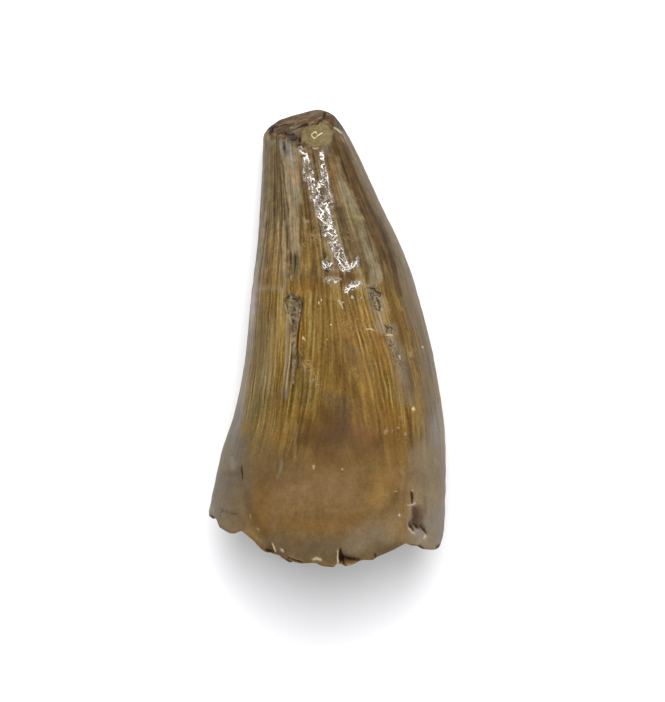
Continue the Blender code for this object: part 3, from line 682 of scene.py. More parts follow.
# Broad differences of brightness and warmth: gain, warmth, and the path with half widths.
TINTS = (
    (1.10, 1.30, ((352, 305, 16), (360, 350, 18), (364, 385, 16))),
    (1.22, 1.10, ((380, 300, 8), (386, 325, 8), (390, 345, 7))),
    (1.30, 1.22, ((300, 295, 6), (300, 342, 7))),
    (1.22, 1.08, ((284, 320, 6), (284, 385, 6))),
    (1.22, 0.86, ((254, 268, 6), (251, 325, 6))),
    (1.00, 0.76, ((251, 335, 6), (244, 380, 7), (236, 430, 10), (240, 452, 9))),
    (0.74, 1.18, ((326, 408, 9), (338, 428, 12), (326, 448, 10))),
    (0.88, 1.34, ((354, 425, 12), (370, 440, 12))),
    (0.86, 1.00, ((246, 488, 14), (270, 468, 16), (290, 452, 14))),
    (1.17, 1.24, ((404, 470, 16), (410, 500, 16), (400, 528, 14))),
    (1.25, 1.04, ((291, 152, 6), (295, 182, 6))),
    (1.22, 1.08, ((283, 226, 5), (284, 266, 5))),
    (1.18, 1.08, ((305, 230, 10), (312, 262, 10), (308, 285, 10))),
    (0.87, 1.30, ((338, 150, 7), (346, 172, 7))),
    (0.97, 1.20, ((354, 180, 7), (372, 240, 9))),
    (1.00, 1.28, ((385, 388, 12), (392, 430, 12))),
    (0.84, 1.00, ((424, 392, 7), (425, 412, 7))),
    (1.00, 0.92, ((262, 540, 7), (300, 550, 8), (350, 550, 9), (385, 545, 7))),
    (0.84, 1.12, ((341, 316, 9), (344, 360, 10), (346, 400, 11), (344, 428, 10))),
    (0.76, 0.98, ((354, 352, 7), (356, 376, 8), (354, 404, 8))),
    (0.84, 1.02, ((410, 356, 6), (412, 388, 6))),
    (1.16, 0.96, ((254, 300, 6), (253, 324, 6))),
    (1.00, 0.76, ((284, 300, 6), (285, 350, 6), (284, 395, 7))),
    (0.98, 0.84, ((268, 305, 9), (266, 350, 9), (262, 400, 10))),
    (0.80, 0.92, ((299, 360, 6), (302, 388, 7), (312, 384, 7), (304, 404, 8))),
    (0.80, 0.84, ((256, 438, 9), (262, 448, 8))),
    (0.84, 1.00, ((300, 440, 9), (316, 448, 9))),
    (0.86, 1.02, ((384, 440, 8), (396, 446, 8))),
    (0.86, 1.04, ((412, 440, 9), (424, 436, 8))),
    (0.84, 1.00, ((328, 140, 3.5), (329, 134, 3))),
    (0.62, 1.00, ((272, 129, 3), (280, 126, 3.6), (290, 124.6, 3.4), (297, 123.6, 2.6))),
    (0.52, 1.05, ((275, 134, 3), (283, 134, 3.8), (290, 130.6, 3.8))),
    (1.24, 0.84, ((284, 118, 2.6), (292, 115.6, 2.8), (302, 114.6, 2.6))),
    (0.74, 1.00, ((320, 115, 4), (328, 118, 5), (333, 124, 4))),
    (0.80, 1.00, ((306, 123, 2.6), (318, 121.6, 2.6))),
    (0.78, 1.00, ((331, 134, 3.5), (331, 141, 4), (321, 135, 4))),
    (0.74, 0.96, ((337, 128, 3), (338, 135, 3.5))),
    (0.84, 1.00, ((272, 139, 4), (273, 143, 4))),
    (1.16, 0.86, ((253, 256, 5), (252, 284, 6), (250, 312, 6))),
    (0.92, 1.00, ((266, 316, 6), (264, 350, 6))),
    (0.76, 1.06, ((381, 252, 6), (388, 270, 6), (392, 286, 5))),
    (1.26, 1.04, ((380, 348, 7), (385, 366, 6))),
    (0.92, 1.06, ((398, 340, 6), (400, 356, 5))),
    (0.88, 1.04, ((408, 372, 6), (413, 390, 5))),
    (1.20, 1.02, ((384, 478, 9), (378, 498, 11))),
    (0.90, 1.02, ((300, 470, 10), (322, 474, 10))),
    (0.93, 1.06, ((268, 480, 10), (290, 476, 8))),
    (1.20, 1.00, ((212, 514, 5), (214, 508, 4))),
    (1.15, 1.00, ((252, 536, 5), (258, 541, 4))),
    (0.86, 1.04, ((240, 516, 6), (242, 524, 5))),
    (1.03, 1.18, ((330, 424, 10), (350, 434, 11), (366, 438, 8))),
    (0.98, 0.84, ((256, 410, 9), (270, 400, 9), (290, 388, 8), (304, 396, 7))),
    (0.96, 0.82, ((352, 302, 8), (362, 300, 7), (344, 310, 7))),
    (1.02, 0.84, ((300, 300, 6), (312, 322, 8), (306, 350, 7))),
    (1.04, 0.72, ((433, 400, 5), (436, 430, 6), (438, 446, 5))),
    (0.90, 1.00, ((412, 478, 7), (424, 484, 7))),
    (1.12, 0.98, ((335, 225, 4), (339, 240, 4))),
    (1.10, 0.96, ((400, 505, 5), (398, 520, 5))),
    (0.88, 1.16, ((362, 182, 5), (378, 222, 6), (392, 256, 7))),
    (0.98, 0.82, ((256, 292, 8), (256, 340, 10), (260, 380, 13), (250, 420, 13), (244, 450, 9))),
    (0.89, 1.22, ((300, 440, 11), (330, 434, 12), (362, 432, 13), (393, 436, 11))),
    (0.89, 1.05, ((412, 430, 9), (414, 460, 11), (416, 480, 9))),
    (0.91, 1.12, ((300, 470, 10), (330, 466, 12), (350, 462, 10))),
    (0.82, 1.00, ((346, 558, 4), (380, 552, 4), (402, 545, 4))),
    (0.90, 0.98, ((240, 538, 4), (262, 547, 4), (290, 557, 4), (314, 561, 4))),
    (0.87, 1.06, ((310, 116, 4), (322, 114, 5), (333, 118, 5))),
    (1.16, 0.92, ((252, 535, 7), (262, 543, 5))),
    (1.00, 0.82, ((258, 300, 9), (256, 340, 10), (262, 380, 10), (258, 412, 9))),
    (1.00, 0.82, ((290, 300, 7), (310, 298, 8), (340, 300, 8), (362, 300, 7))),
    (0.99, 0.80, ((370, 366, 8), (384, 384, 10), (404, 398, 8))),
    (1.00, 0.80, ((300, 384, 8), (312, 400, 8))),
    (1.16, 1.02, ((366, 444, 7), (378, 450, 6))),
    (1.00, 0.90, ((306, 320, 14), (330, 350, 20), (368, 350, 18), (384, 396, 12))),
    (1.00, 0.84, ((252, 410, 9), (266, 424, 9), (280, 414, 8))),
    (1.00, 0.80, ((394, 500, 6), (396, 518, 6))),
    (1.12, 1.00, ((250, 536, 6), (262, 544, 5))),
    (0.93, 1.00, ((414, 470, 8), (426, 480, 8))),
    (1.12, 0.96, ((412, 509, 4), (410, 519, 4))),
    (1.08, 0.98, ((384, 368, 7), (392, 372, 6))),
    (0.94, 0.98, ((284, 300, 6), (262, 336, 7))),
    (1.07, 0.96, ((250, 262, 7), (250, 312, 7))),
    (1.08, 1.00, ((310, 218, 6), (308, 240, 6))),
    (0.92, 1.00, ((432, 405, 6), (434, 430, 7), (436, 446, 7))),
    (1.06, 1.00, ((310, 412, 8), (316, 426, 8))),
    (1.00, 0.78, ((408, 518, 8), (416, 536, 8), (440, 510, 8), (442, 545, 6))),
    (1.00, 0.86, ((278, 532, 8), (308, 540, 9), (330, 545, 9))),
    (0.90, 1.04, ((436, 452, 7), (434, 470, 7))),
    (1.00, 0.84, ((282, 272, 6), (296, 276, 7), (344, 276, 8))),
    (0.80, 1.00, ((380, 552, 3), (402, 545, 3))),
    (1.00, 0.84, ((297.6, 150, 4), (298.4, 170, 4.6), (297.4, 188, 4))),
    (0.96, 0.88, ((350, 350, 8), (362, 368, 10))),
)
# Pits and slots: depth in mm, then the path.
SLOTS = (
    (0.050, ((283.8, 142, 0.8), (285, 149, 1.0), (285.4, 156, 0.6))),
    (0.070, ((290, 251, 0.7), (290.4, 258, 1.0), (290.6, 263, 0.6))),
    (0.090, ((295.2, 254, 0.8), (295, 261, 1.2), (294.4, 267, 0.9), (293.6, 273, 0.6))),
    (0.035, ((289.2, 273, 0.8), (289.4, 280, 0.7))),
    (0.060, ((284.4, 299, 0.9), (285.6, 304, 0.8))),
    (0.070, ((300.8, 297, 0.9), (302, 306, 1.1), (300.6, 318, 1.0), (298.6, 330, 0.8))),
    (0.060, ((297.6, 331, 0.8), (297.6, 350, 0.8), (297.3, 370, 0.6))),
    (0.045, ((291.4, 318, 0.9), (291.6, 330, 0.8))),
    (0.050, ((369, 287.6, 0.7), (373.6, 288.4, 0.9), (377, 292, 1.0), (380.4, 296.6, 0.9))),
    (0.050, ((377.6, 300.6, 0.8), (379.8, 303.6, 1.0), (381, 307, 1.1), (379.4, 310.4, 1.0), (376.8, 308.8, 0.7))),
    (0.040, ((370.4, 293, 0.7), (372.4, 299, 0.8), (371, 304, 0.6))),
    (0.040, ((369.6, 268.4, 0.7), (373, 267, 0.8), (376.4, 266, 0.6))),
    (0.040, ((379.4, 276.6, 1.0), (379.6, 277, 1.0))),
    (0.025, ((374.4, 270, 0.5), (374.8, 281, 0.6))),
    (0.045, ((385.6, 325, 0.9), (388.4, 328.6, 1.1), (387, 332, 0.8))),
    (0.045, ((390.4, 326.6, 0.7), (389, 330.6, 0.9), (392.2, 333, 0.7))),
    (0.040, ((388.8, 344.6, 0.9), (391.6, 345.4, 1.0))),
    (0.030, ((395.4, 360.6, 0.6), (401.6, 360.5, 0.7))),
    (0.020, ((222, 510.5, 0.7), (239, 515, 0.7))),
    (0.070, ((411.6, 492, 0.8), (412.4, 502, 1.0))),
    (0.110, ((410.6, 524, 1.0), (412, 527.4, 1.2), (414, 530, 0.9))),
    (0.090, ((416.2, 525.2, 0.9), (418.6, 528, 1.0))),
    (0.110, ((421.8, 526.4, 1.0), (424, 529.8, 1.1), (425.6, 533.6, 0.9))),
    (0.030, ((241.6, 467, 0.9), (242.6, 478, 0.9))),
)
# A fill of grey-brown matrix in a pit that narrows to a groove: depth in mm, then the path.
MATRIX = (
    (0.12, ((292, 297.5, 5.2), (294.4, 303, 7.2), (294.6, 311, 6.6), (293.8, 321, 4.6), (293.4, 331, 3.4))),
    (0.035, ((293.4, 331, 2.6), (293.6, 348, 2.2), (293.4, 368, 1.6), (293.2, 384, 1.0))),
)
PIT_DARK = ((288, 298, 1.4, 1.2), (293, 297.4, 2.2, 1.4), (293.8, 308, 1.9, 2.2), (292, 319.5, 1.0, 2.4),
            (296.6, 300.5, 1.2, 1.2), (295, 327, 0.8, 2.0))
PIT_LIP = ((285.4, 301.6, 0.8), (287.2, 308, 1.1), (289, 315, 1.0), (290.2, 323, 0.8))
# Bright specks and flakes on the surface. Some specks, below the wrinkled coat and beside the pit, are painted glints.
SPECKS_AND_GLINTS = (
    (413.5, 409, 1.4, 1.8), (313.6, 467.2, 1.2, 1.7), (342.3, 469.6, 0.8, 0.8), (343, 302, 0.8, 0.8),
    (331, 325, 0.8, 1.0), (303, 338, 0.8, 1.3), (304.6, 340, 0.7, 1.0), (366.5, 328.6, 1.3, 0.8),
    (369.6, 328.4, 1.0, 0.7), (371.6, 330.4, 1.5, 0.7), (327, 339, 0.7, 0.8), (404, 458, 1.4, 0.6),
    (422, 451, 1.2, 0.7), (361, 298, 0.5, 1.1), (352, 297.4, 0.7, 1.3), (395.8, 490.4, 2.2, 0.9),
    (412.6, 490.8, 0.8, 1.2), (399.3, 515, 0.7, 1.5), (309.6, 512.6, 0.8, 0.8), (422.6, 347, 1.0, 1.0),
    (389.6, 334.6, 2.9, 0.7), (400, 357, 0.6, 2.2), (318.7, 303, 0.6, 1.5), (321.5, 300.2, 0.6, 1.1),
)
# Dull flakes: a pale skin over the enamel.
FLAKES = (
    (386, 431, 2.0, 3.4, 20), (392.6, 430.4, 1.0, 1.3, 0), (410.6, 353.8, 1.8, 3.0, 0), (406, 434, 2.0, 2.0, 0),
    (400.4, 418, 1.8, 1.6, 0), (398, 428, 1.4, 1.2, 0), (403, 441, 1.4, 1.0, 30), (291, 277, 1.2, 3.4, 0),
    (289.2, 252, 0.7, 3.6, 0), (296, 279, 2.4, 0.8, -12), (250.4, 516, 1.0, 2.0, -20), (258.6, 529.4, 2.4, 1.2, 10),
)
# Where the pale crossing fibres and the worm-like pitting are.
FIBRES = ((302, 350, 5), (306, 362, 7), (312, 374, 8), (318, 384, 6))
FIBRES_TOP = ((304, 246, 4), (316, 234, 5), (324, 242, 5), (352, 236, 6))
FIBRES_RIGHT = ((344, 322, 6), (358, 324, 8), (370, 328, 6))
FIBRES_MID = ((352, 368, 5), (358, 376, 6))
DISC = (317.0, 135.2)  # centre of the round worn face
# Thin marks, drawn finer than the mesh's own vertices: paths with half widths.
# The first two below are painted highlights on the worn face: a small ring of glint, and a crescent at its lower edge.
RING_GLINT = (
    ((311.4, 135.2, 0.5), (312.2, 133.4, 0.55), (314.0, 132.1, 0.7), (315.7, 131.7, 0.95)),
    ((315.7, 131.8, 0.6), (316.9, 133.4, 0.35), (317.3, 135.0, 0.4)),
    ((311.4, 135.2, 0.55), (312.5, 136.9, 0.5), (314.4, 137.8, 0.75), (316.3, 137.0, 0.5), (317.6, 135.4, 0.6)),
    ((317.6, 135.2, 0.5), (319.2, 134.4, 0.5), (320.5, 133.4, 0.85), (321.9, 132.7, 0.6)),
)
CRESCENT_GLINT = ((312.6, 148.6, 0.3), (315.2, 148.9, 0.55), (317.8, 147.6, 0.5))
WORMS = (
    ((297.0, 147.2, 0.6), (302.0, 147.0, 0.8)),
    ((299.5, 150.7, 0.5), (304.4, 153.8, 0.7), (308.0, 158.7, 0.9), (308.7, 163.0, 0.5)),
    ((303.2, 157.4, 0.5), (304.4, 162.3, 0.9), (303.8, 168.4, 0.8), (303.2, 175.7, 0.9), (303.8, 180.6, 0.5)),
    ((308.7, 177.0, 0.8), (312.3, 179.4, 0.9), (309.9, 183.0, 0.7), (314.8, 184.9, 0.9)),
    ((322.7, 157.4, 0.6), (325.1, 162.3, 1.2), (322.0, 166.0, 1.0), (322.7, 168.8, 0.8)),
    ((319.6, 171.5, 0.8), (322.7, 173.9, 1.0), (325.6, 170.6, 0.9)),
    ((328.2, 174.5, 0.8), (326.8, 179.4, 1.1), (328.2, 183.0, 0.7), (328.8, 190.4, 0.6), (331.2, 196.5, 0.7), (332.4, 202.0, 0.5)),
    ((317.8, 183.7, 0.8), (320.9, 186.7, 1.0), (316.4, 188.4, 0.9), (318.6, 192.0, 0.6)),
    ((310.5, 195.9, 0.9), (314.8, 201.3, 1.2), (318.4, 206.2, 0.9), (323.3, 212.3, 1.3), (319.6, 218.4, 0.9), (325.7, 223.9, 1.2)),
    ((329.0, 203.0, 0.8), (326.0, 208.0, 0.9), (331.0, 213.0, 1.0), (330.0, 220.0, 0.7)),
    ((322.0, 261.0, 0.9), (325.6, 266.0, 1.4), (330.0, 270.6, 1.2), (334.4, 269.0, 0.6)),
    ((325.4, 260.0, 0.7), (328.6, 264.6, 1.1)),
    ((320.8, 263.6, 0.8), (324.4, 268.4, 1.2), (329.4, 266.4, 1.0), (332.4, 261.6, 0.8)),
    ((337.6, 257.0, 0.8), (340.0, 263.0, 1.4), (345.4, 270.0, 1.3), (353.0, 267.6, 1.1), (357.6, 261.0, 1.2), (357.0, 256.6, 0.6)),
    ((328.0, 281.4, 0.7), (331.6, 278.6, 0.9), (335.2, 282.4, 0.9), (339.6, 280.6, 0.6)),
    ((347.0, 291.6, 0.8), (351.0, 287.0, 1.0), (357.0, 285.6, 0.9), (362.0, 281.6, 0.7)),
    ((352.6, 289.8, 0.8), (357.0, 291.6, 0.7)),
)
TIP_DARK = (
    ((324.6, 113.8, 0.9), (324.8, 116.0, 1.3), (323.6, 118.6, 0.8), (321.0, 119.6, 0.6), (318.8, 121.4, 0.75), (317.3, 123.8, 0.65)),
    ((317.3, 123.8, 0.7), (312.8, 123.5, 0.5), (307.0, 124.2, 0.65), (302.4, 124.6, 0.9), (299.8, 126.2, 0.8), (296.8, 127.2, 0.5)),
    ((284.6, 131.6, 0.9), (287.0, 133.8, 0.9), (290.0, 134.6, 0.55), (294.2, 134.2, 0.7)),
    ((299.8, 137.4, 0.8), (299.9, 139.6, 0.9)),
    ((298.6, 144.8, 0.6), (300.6, 145.0, 0.8)),
    ((282.6, 142.2, 0.35), (284.3, 147.8, 0.7), (284.8, 153.0, 0.45)),
    ((275.2, 128.2, 0.4), (284.4, 124.4, 0.65), (294.2, 122.8, 0.45)),
    ((297.0, 120.6, 0.3), (305.6, 118.2, 0.5), (313.4, 117.0, 0.35)),
    ((290.2, 138.8, 0.5), (294.2, 139.8, 0.8), (297.6, 138.0, 0.5)),
    ((269.8, 134.6, 0.7), (271.4, 130.6, 1.0), (274.0, 127.8, 0.6)),
)
FINE_DARK = (
    ((290.2, 252.0, 0.35), (290.6, 259.0, 0.6), (290.6, 264.0, 0.35)),
    ((295.4, 254.0, 0.45), (295.2, 261.0, 0.85), (294.4, 268.0, 0.55), (293.6, 273.0, 0.35)),
    ((287.2, 296.0, 0.6), (284.8, 299.0, 0.5), (286.6, 305.0, 0.6), (289.0, 314.0, 0.4)),
    ((298.8, 297.0, 0.5), (301.6, 303.0, 0.9), (300.8, 314.0, 0.8), (298.6, 328.0, 0.7), (297.6, 345.0, 0.6), (297.4, 368.0, 0.4)),
    ((369.2, 287.4, 0.5), (373.4, 288.2, 0.8), (377.0, 291.6, 0.6), (381.0, 293.4, 0.8), (380.0, 297.0, 0.5)),
    ((370.4, 292.4, 0.35), (371.6, 296.2, 0.5), (373.8, 299.4, 0.35)),
    ((377.4, 297.6, 0.5), (379.8, 302.0, 0.6), (381.0, 306.6, 0.8), (379.2, 310.2, 0.7), (376.4, 308.6, 0.5)),
    ((385.4, 324.6, 0.5), (388.4, 327.6, 0.85), (386.6, 331.0, 0.5)),
    ((390.4, 325.8, 0.4), (392.2, 328.8, 0.6), (391.4, 332.2, 0.4)),
    ((388.8, 344.6, 0.5), (391.6, 345.6, 0.7)),
    ((411.8, 491.0, 0.5), (412.4, 497.0, 0.9), (412.8, 503.0, 0.5)),
    ((409.8, 522.4, 0.8), (411.8, 526.8, 1.4), (414.2, 530.2, 0.7)),
    ((414.6, 523.0, 0.6), (417.0, 525.6, 1.1), (419.2, 528.2, 0.7)),
    ((420.8, 525.2, 0.7), (424.0, 529.2, 1.3), (426.0, 533.8, 0.7)),
    ((241.6, 466.0, 0.5), (242.6, 472.0, 0.8), (242.8, 479.0, 0.5)),
    ((389.4, 337.4, 0.3), (390.8, 340.4, 0.5), (390.2, 342.6, 0.3)),
    ((414.2, 512.6, 0.5), (415.4, 517.0, 0.7), (413.6, 520.6, 0.5)),
)
# Painted shade: the dark underside and hollow showing past the broken edge and through its chips.
RIM_SHADE = (
    ((340.8, 549.6, 0.9), (341.5, 556.0, 2.3), (342.2, 562.6, 2.4)),
    ((343.0, 556.8, 2.2), (349.0, 558.4, 1.5), (355.0, 559.2, 0.9), (359.6, 559.5, 0.5)),
    ((287.6, 558.4, 0.6), (292.0, 560.2, 1.2), (297.4, 562.0, 1.3), (303.0, 563.6, 0.8)),
    ((266.0, 549.4, 0.6), (270.0, 551.2, 1.0), (273.6, 551.0, 0.8)),
    ((411.6, 545.0, 0.5), (418.0, 546.2, 0.8), (423.8, 548.8, 0.9)),
    ((437.0, 547.2, 0.9), (440.0, 545.8, 0.9)),
    ((375.4, 554.0, 0.4), (375.9, 558.8, 0.9)),
    ((210.4, 516.0, 0.7), (213.2, 518.4, 0.7)),
)
# Pale chips and lips, with painted highlights among them: the crescent on the worn face, small cream glints below the
# wrinkled coat and glints on the lower lips of the broken edge.
PALE_CHIPS_AND_GLINTS = (
    CRESCENT_GLINT,
    ((338.0, 300.4, 0.6), (341.0, 303.4, 0.8), (342.6, 307.6, 0.5)),
    ((351.6, 296.0, 0.6), (352.8, 298.6, 0.7)),
    ((366.0, 328.8, 0.7), (370.6, 328.4, 0.9), (373.6, 330.6, 0.5)),
    ((338.0, 550.4, 0.35), (338.1, 557.0, 0.75), (338.2, 565.0, 0.8)),
    ((347.6, 565.3, 0.7), (351.0, 565.9, 0.95), (354.4, 565.0, 0.7)),
    ((272.0, 543.6, 0.35), (273.8, 547.4, 0.6), (275.4, 551.0, 0.4)),
    ((280.4, 548.6, 0.4), (283.2, 550.8, 0.6)),
    ((313.0, 559.8, 0.8), (317.0, 558.6, 1.2), (320.6, 559.8, 0.8)),
    ((409.0, 528.6, 0.35), (411.6, 531.6, 0.4), (414.6, 533.4, 0.25)),
    ((422.2, 538.0, 0.6), (424.4, 536.0, 0.8)),
    ((386.0, 335.4, 0.35), (389.6, 334.6, 0.6), (393.0, 335.2, 0.35)),
    ((407.4, 505.0, 0.35), (412.6, 504.6, 0.5), (415.4, 503.4, 0.3)),
    ((334.4, 127.6, 0.5), (338.0, 130.0, 1.0), (341.2, 132.2, 0.7)),
)


on_top = upper > 0.5


class Marks:
    """Distances and paint at the vertices of the upper side alone."""

    def __init__(self):
        full = np.where(kind >= 2, (sine >= 0)[None, :] * 1.0, upper)
        self.at = np.nonzero(((upper > 0.02) | (full > 0.02)).ravel())[0]
        pick = lambda a: a.ravel()[self.at]
        self.full = pick(full)
        self.x, self.y, self.upper = pick(wobble_x), pick(wobble_y), pick(upper)
        self.true_x, self.true_y = pick(cx), pick(cy)
        self.fibre = pick(fibre)

    def near(self, points, reach, x, y):
        wide = reach * max(p[2] for p in points)
        return np.nonzero(
            (x > min(p[0] for p in points) - wide) & (x < max(p[0] for p in points) + wide)
            & (y > min(p[1] for p in points) - wide) & (y < max(p[1] for p in points) + wide)
        )[0]

    def spread(self, values, rest):
        out = np.full(P.shape[:-1], float(rest))
        out.reshape(-1)[self.at] = values
        return out

    def paths(self, table, rest=4.0, steady=False):
        x, y = (self.true_x, self.true_y) if steady else (self.x, self.y)
        found = np.full(len(self.at), rest)
        for points in table:
            i = self.near(points, rest, x, y)
            found[i] = np.minimum(found[i], path(points, x[i], y[i]))
        return self.spread(found, rest)

    def spots(self, table, rest=4.0, steady=False):
        x, y = (self.true_x, self.true_y) if steady else (self.x, self.y)
        found = np.full(len(self.at), rest)
        for row in table:
            i = self.near([(row[0], row[1], max(row[2], row[3]))], rest, x, y)
            found[i] = np.minimum(found[i], spot(*row, x=x[i], y=y[i]))
        return self.spread(found, rest)

    def painted(self):
        paint, cover = np.zeros((len(self.at), 3)), np.zeros(len(self.at))
        for name, strength, softness, points in PAINT:
            i = self.near(points, 2.6 if softness >= 1 else 2.0, self.x, self.y)
            d = path(points, self.x[i], self.y[i])
            d = d * (1 + 0.35 * self.fibre[i])
            if softness >= 1:
                m = np.clip(np.exp(-(d**2)) * 1.05 - 0.05, 0, 1)
            else:
                m = 1 - smooth(1 - softness, 1 + softness, d)
            m = m * strength * self.full[i]
            paint[i] = paint[i] * (1 - m[:, None]) + np.array(tone(*TONES[name])[:3]) * m[:, None]
            cover[i] = cover[i] * (1 - m) + m
        out = np.zeros(P.shape)
        out.reshape(-1, 3)[self.at] = paint
        return out, self.spread(cover, 0.0)


    def tinted(self):
        tint = np.ones((len(self.at), 3))
        for gain, warmth, points in TINTS:
            i = self.near(points, 2.4, self.x, self.y)
            m = np.exp(-(path(points, self.x[i], self.y[i]) ** 2)) * self.full[i]
            for channel, by in enumerate((gain * warmth**0.3, gain, gain * warmth**-0.9)):
                tint[i, channel] *= by**m
        out = np.ones(P.shape)
        out.reshape(-1, 3)[self.at] = tint
        return out


fibre = 0.7 * fractal(stretched * np.array([3.4, 3.4, 2.6]), 3, 0.6, 151) + 0.5 * fractal(P * 4.0, 3, 0.6, 157)
marks = Marks()
paint, cover = marks.painted()
tint = marks.tinted()

# The colour of the sides is carried round on to the underside, where it fades out.
opposite = np.interp(
    np.mod(-turn - turn[0], 2 * np.pi) + turn[0], np.append(turn, turn[0] + 2 * np.pi), np.arange(AROUND + 1.0)
)
near_column = np.floor(opposite).astype(int)
share = opposite - near_column
under_side = (kind >= 2) & (sine < 0)[None, :]
carried = smooth(-0.90, -0.10, N[..., 2] * (1 + 0.9 * fractal(P * 0.45, 3, 0.55, 171)))


def mirrored(values):
    weight = share if values.ndim == 2 else share[:, None]
    return values[:, near_column % AROUND] * (1 - weight) + values[:, (near_column + 1) % AROUND] * weight


paint = np.where(under_side[..., None], mirrored(paint) * carried[..., None], paint)
cover = np.where(under_side, mirrored(cover) * carried, cover)
tint = np.where(under_side[..., None], mirrored(tint) ** carried[..., None], tint)
slots = marks.paths([row[1] for row in SLOTS])
matrix = marks.paths([row[1] for row in MATRIX])
pit_dark = marks.spots(PIT_DARK)
pit_lip = marks.paths([PIT_LIP])
specks_and_glints = 0.8 * marks.spots(SPECKS_AND_GLINTS, steady=True)
flakes = marks.spots(FLAKES)
fibres = most(soft(marks.paths([FIBRES])), 0.7 * soft(marks.paths([FIBRES_TOP])),
              0.8 * soft(marks.paths([FIBRES_RIGHT])), 0.6 * soft(marks.paths([FIBRES_MID]))) * upper

# The round worn face, smooth and a little dished; the break across the tip, in layers.
disc = np.hypot((cx - DISC[0]) / 15.6, (cy - DISC[1]) / 11.6) * (1 + 0.07 * fractal(P * 1.6, 2, 0.5, 161))
wear = solid(disc, 0.10) * upper * (cut > 0.02)
top_break = smooth(0.04, 0.14, cut) * (1 - wear) * outer
layers = 0.498 * P[..., 0] - 0.867 * P[..., 1] + 0.05 * fractal(P * 2.0, 3, 0.5, 61)
strata = np.stack([layers, 0.867 * P[..., 0] + 0.498 * P[..., 1], P[..., 2]], axis=-1)
TIP_LINE = ((277, 134, 0.9), (287, 132.4, 1.1), (294, 128.6, 0.9), (298.8, 126.8, 1.0), (302.4, 124.6, 1.1),
            (309.6, 123.4, 0.9), (316.8, 123.2, 1.0), (318.8, 120.8, 1.0), (321.8, 118.4, 0.9), (324.6, 115.6, 1.4))
TIP_PITS = ((300, 140.2, 1.1, 2.0), (299.4, 144.9, 1.9, 0.8), (292, 134.2, 2.6, 0.9), (324.8, 115, 1.3, 1.8),
            (272, 130, 1.6, 2.2))
tip_line = marks.paths([TIP_LINE])
tip_pits = marks.spots(TIP_PITS)

# Lower part of the crown, below the ridged enamel.
line = cy + 6 * fractal(stretched * 1.2, 3, 0.6, 51)
lower = smooth(425, 478, line) * (kind >= 1)

# Fine ridges, strongest in the middle of the crown.
bend = 0.5 * fractal(flow * np.array([0.35, 0.35, 0.22]), 3, 0.5, 71)
wander = 0.34 * noise(flow * np.array([1.6, 1.6, 0.45]), 73) + 0.10 * noise(flow * np.array([2.0, 2.0, 1.8]), 75)
count = STRIAE * (grown / (2 * np.pi)) + bend + wander
ridge = (0.5 + 0.5 * np.cos(2 * np.pi * count)) ** 1.35
which = np.mod(np.floor(count + 0.5), STRIAE)
each = hashed(which, np.zeros_like(which), np.zeros_like(which), 79)
zone = (
    0.38 * smooth(140, 175, cy) * (1 - smooth(284, 294, line))
    + smooth(286, 298, line) * (1 - smooth(386, 456, line + 18 * noise(stretched * 4, 83)))
)
# Counted on past the full turn, so that no face spans the jump back to nothing.
unwound = count + STRIAE * (turn >= 2 * np.pi)[None, :]
right_side = smooth(383, 402, cx) * upper
streaky = np.clip(0.60 + 1.0 * fractal(stretched * np.array([1.9, 1.9, 2.4]), 3, 0.5, 87), 0.05, 1.3)
stria_strength = np.where(outer, zone * (0.35 + 0.85 * each) * streaky * (1 - 0.65 * right_side), 0) * (1 - top_break)

# ---------------------------------------------------------------- relief
lift = np.zeros(P.shape[:-1])
lift += outer * 0.014 * (ridge - 0.45) * stria_strength
lift += (kind == 2) * 0.020 * fractal(stretched * np.array([2.2, 2.2, 2.2]), 4, 0.5, 91) * (1 - 0.6 * wear)
lift += (kind == 2) * 0.010 * fractal(P * 4.5, 3, 0.6, 95) * (1 - wear)
bands = np.sin(2 * np.pi * (P[..., 1] / 0.83 + 0.25 * noise(flow * 0.5, 97)))
lift += (kind == 2) * 0.007 * bands * (0.3 + 0.7 * lower)
# the growth line where the ridges begin
lift += (kind == 2) * 0.016 * np.exp(-(((line - 289) / 3.5) ** 2)) * (0.35 + 0.65 * (cx < 300))
# the keel's crest is rough, and the one below too
for angle in KEEL_ANGLES:
    near = np.exp(-((((np.degrees(turn) - angle + 180) % 360 - 180) / 4.0) ** 2))
    lift += (kind == 2) * near * 0.035 * fractal(flow * np.array([2.5, 2.5, 1.3]), 4, 0.6, 99) * (1 - lower)
# the pale ridge of the upper left and the bands beside it stand a little proud
rope = marks.paths([((282, 148, 2), (286, 166, 2.2), (287, 184, 2.2), (289, 204, 2.4), (292, 225, 4), (293, 246, 4))])
lift += upper * 0.030 * soft(rope) * (1 + 0.8 * fractal(P * 3.4, 3, 0.6, 165))

for depth_mm, points in MATRIX:
    d = marks.paths([points])
    lift -= upper * depth_mm * solid(d, 0.30)
    lift += upper * 0.55 * depth_mm * solid(d, 0.3) * fractal(P * 6.0, 3, 0.6, 103)
    lift += upper * 0.010 * np.exp(-(((d - 1.3) / 0.28) ** 2)) * (depth_mm > 0.1)
lift -= upper * 0.060 * solid(pit_dark, 0.5)
lift += upper * 0.040 * solid(pit_lip, 0.5)
for depth_mm, points in SLOTS:
    lift -= upper * depth_mm * np.exp(-(marks.paths([points]) ** 2) * 0.9)
lift += upper * 0.010 * solid(flakes, 0.4)
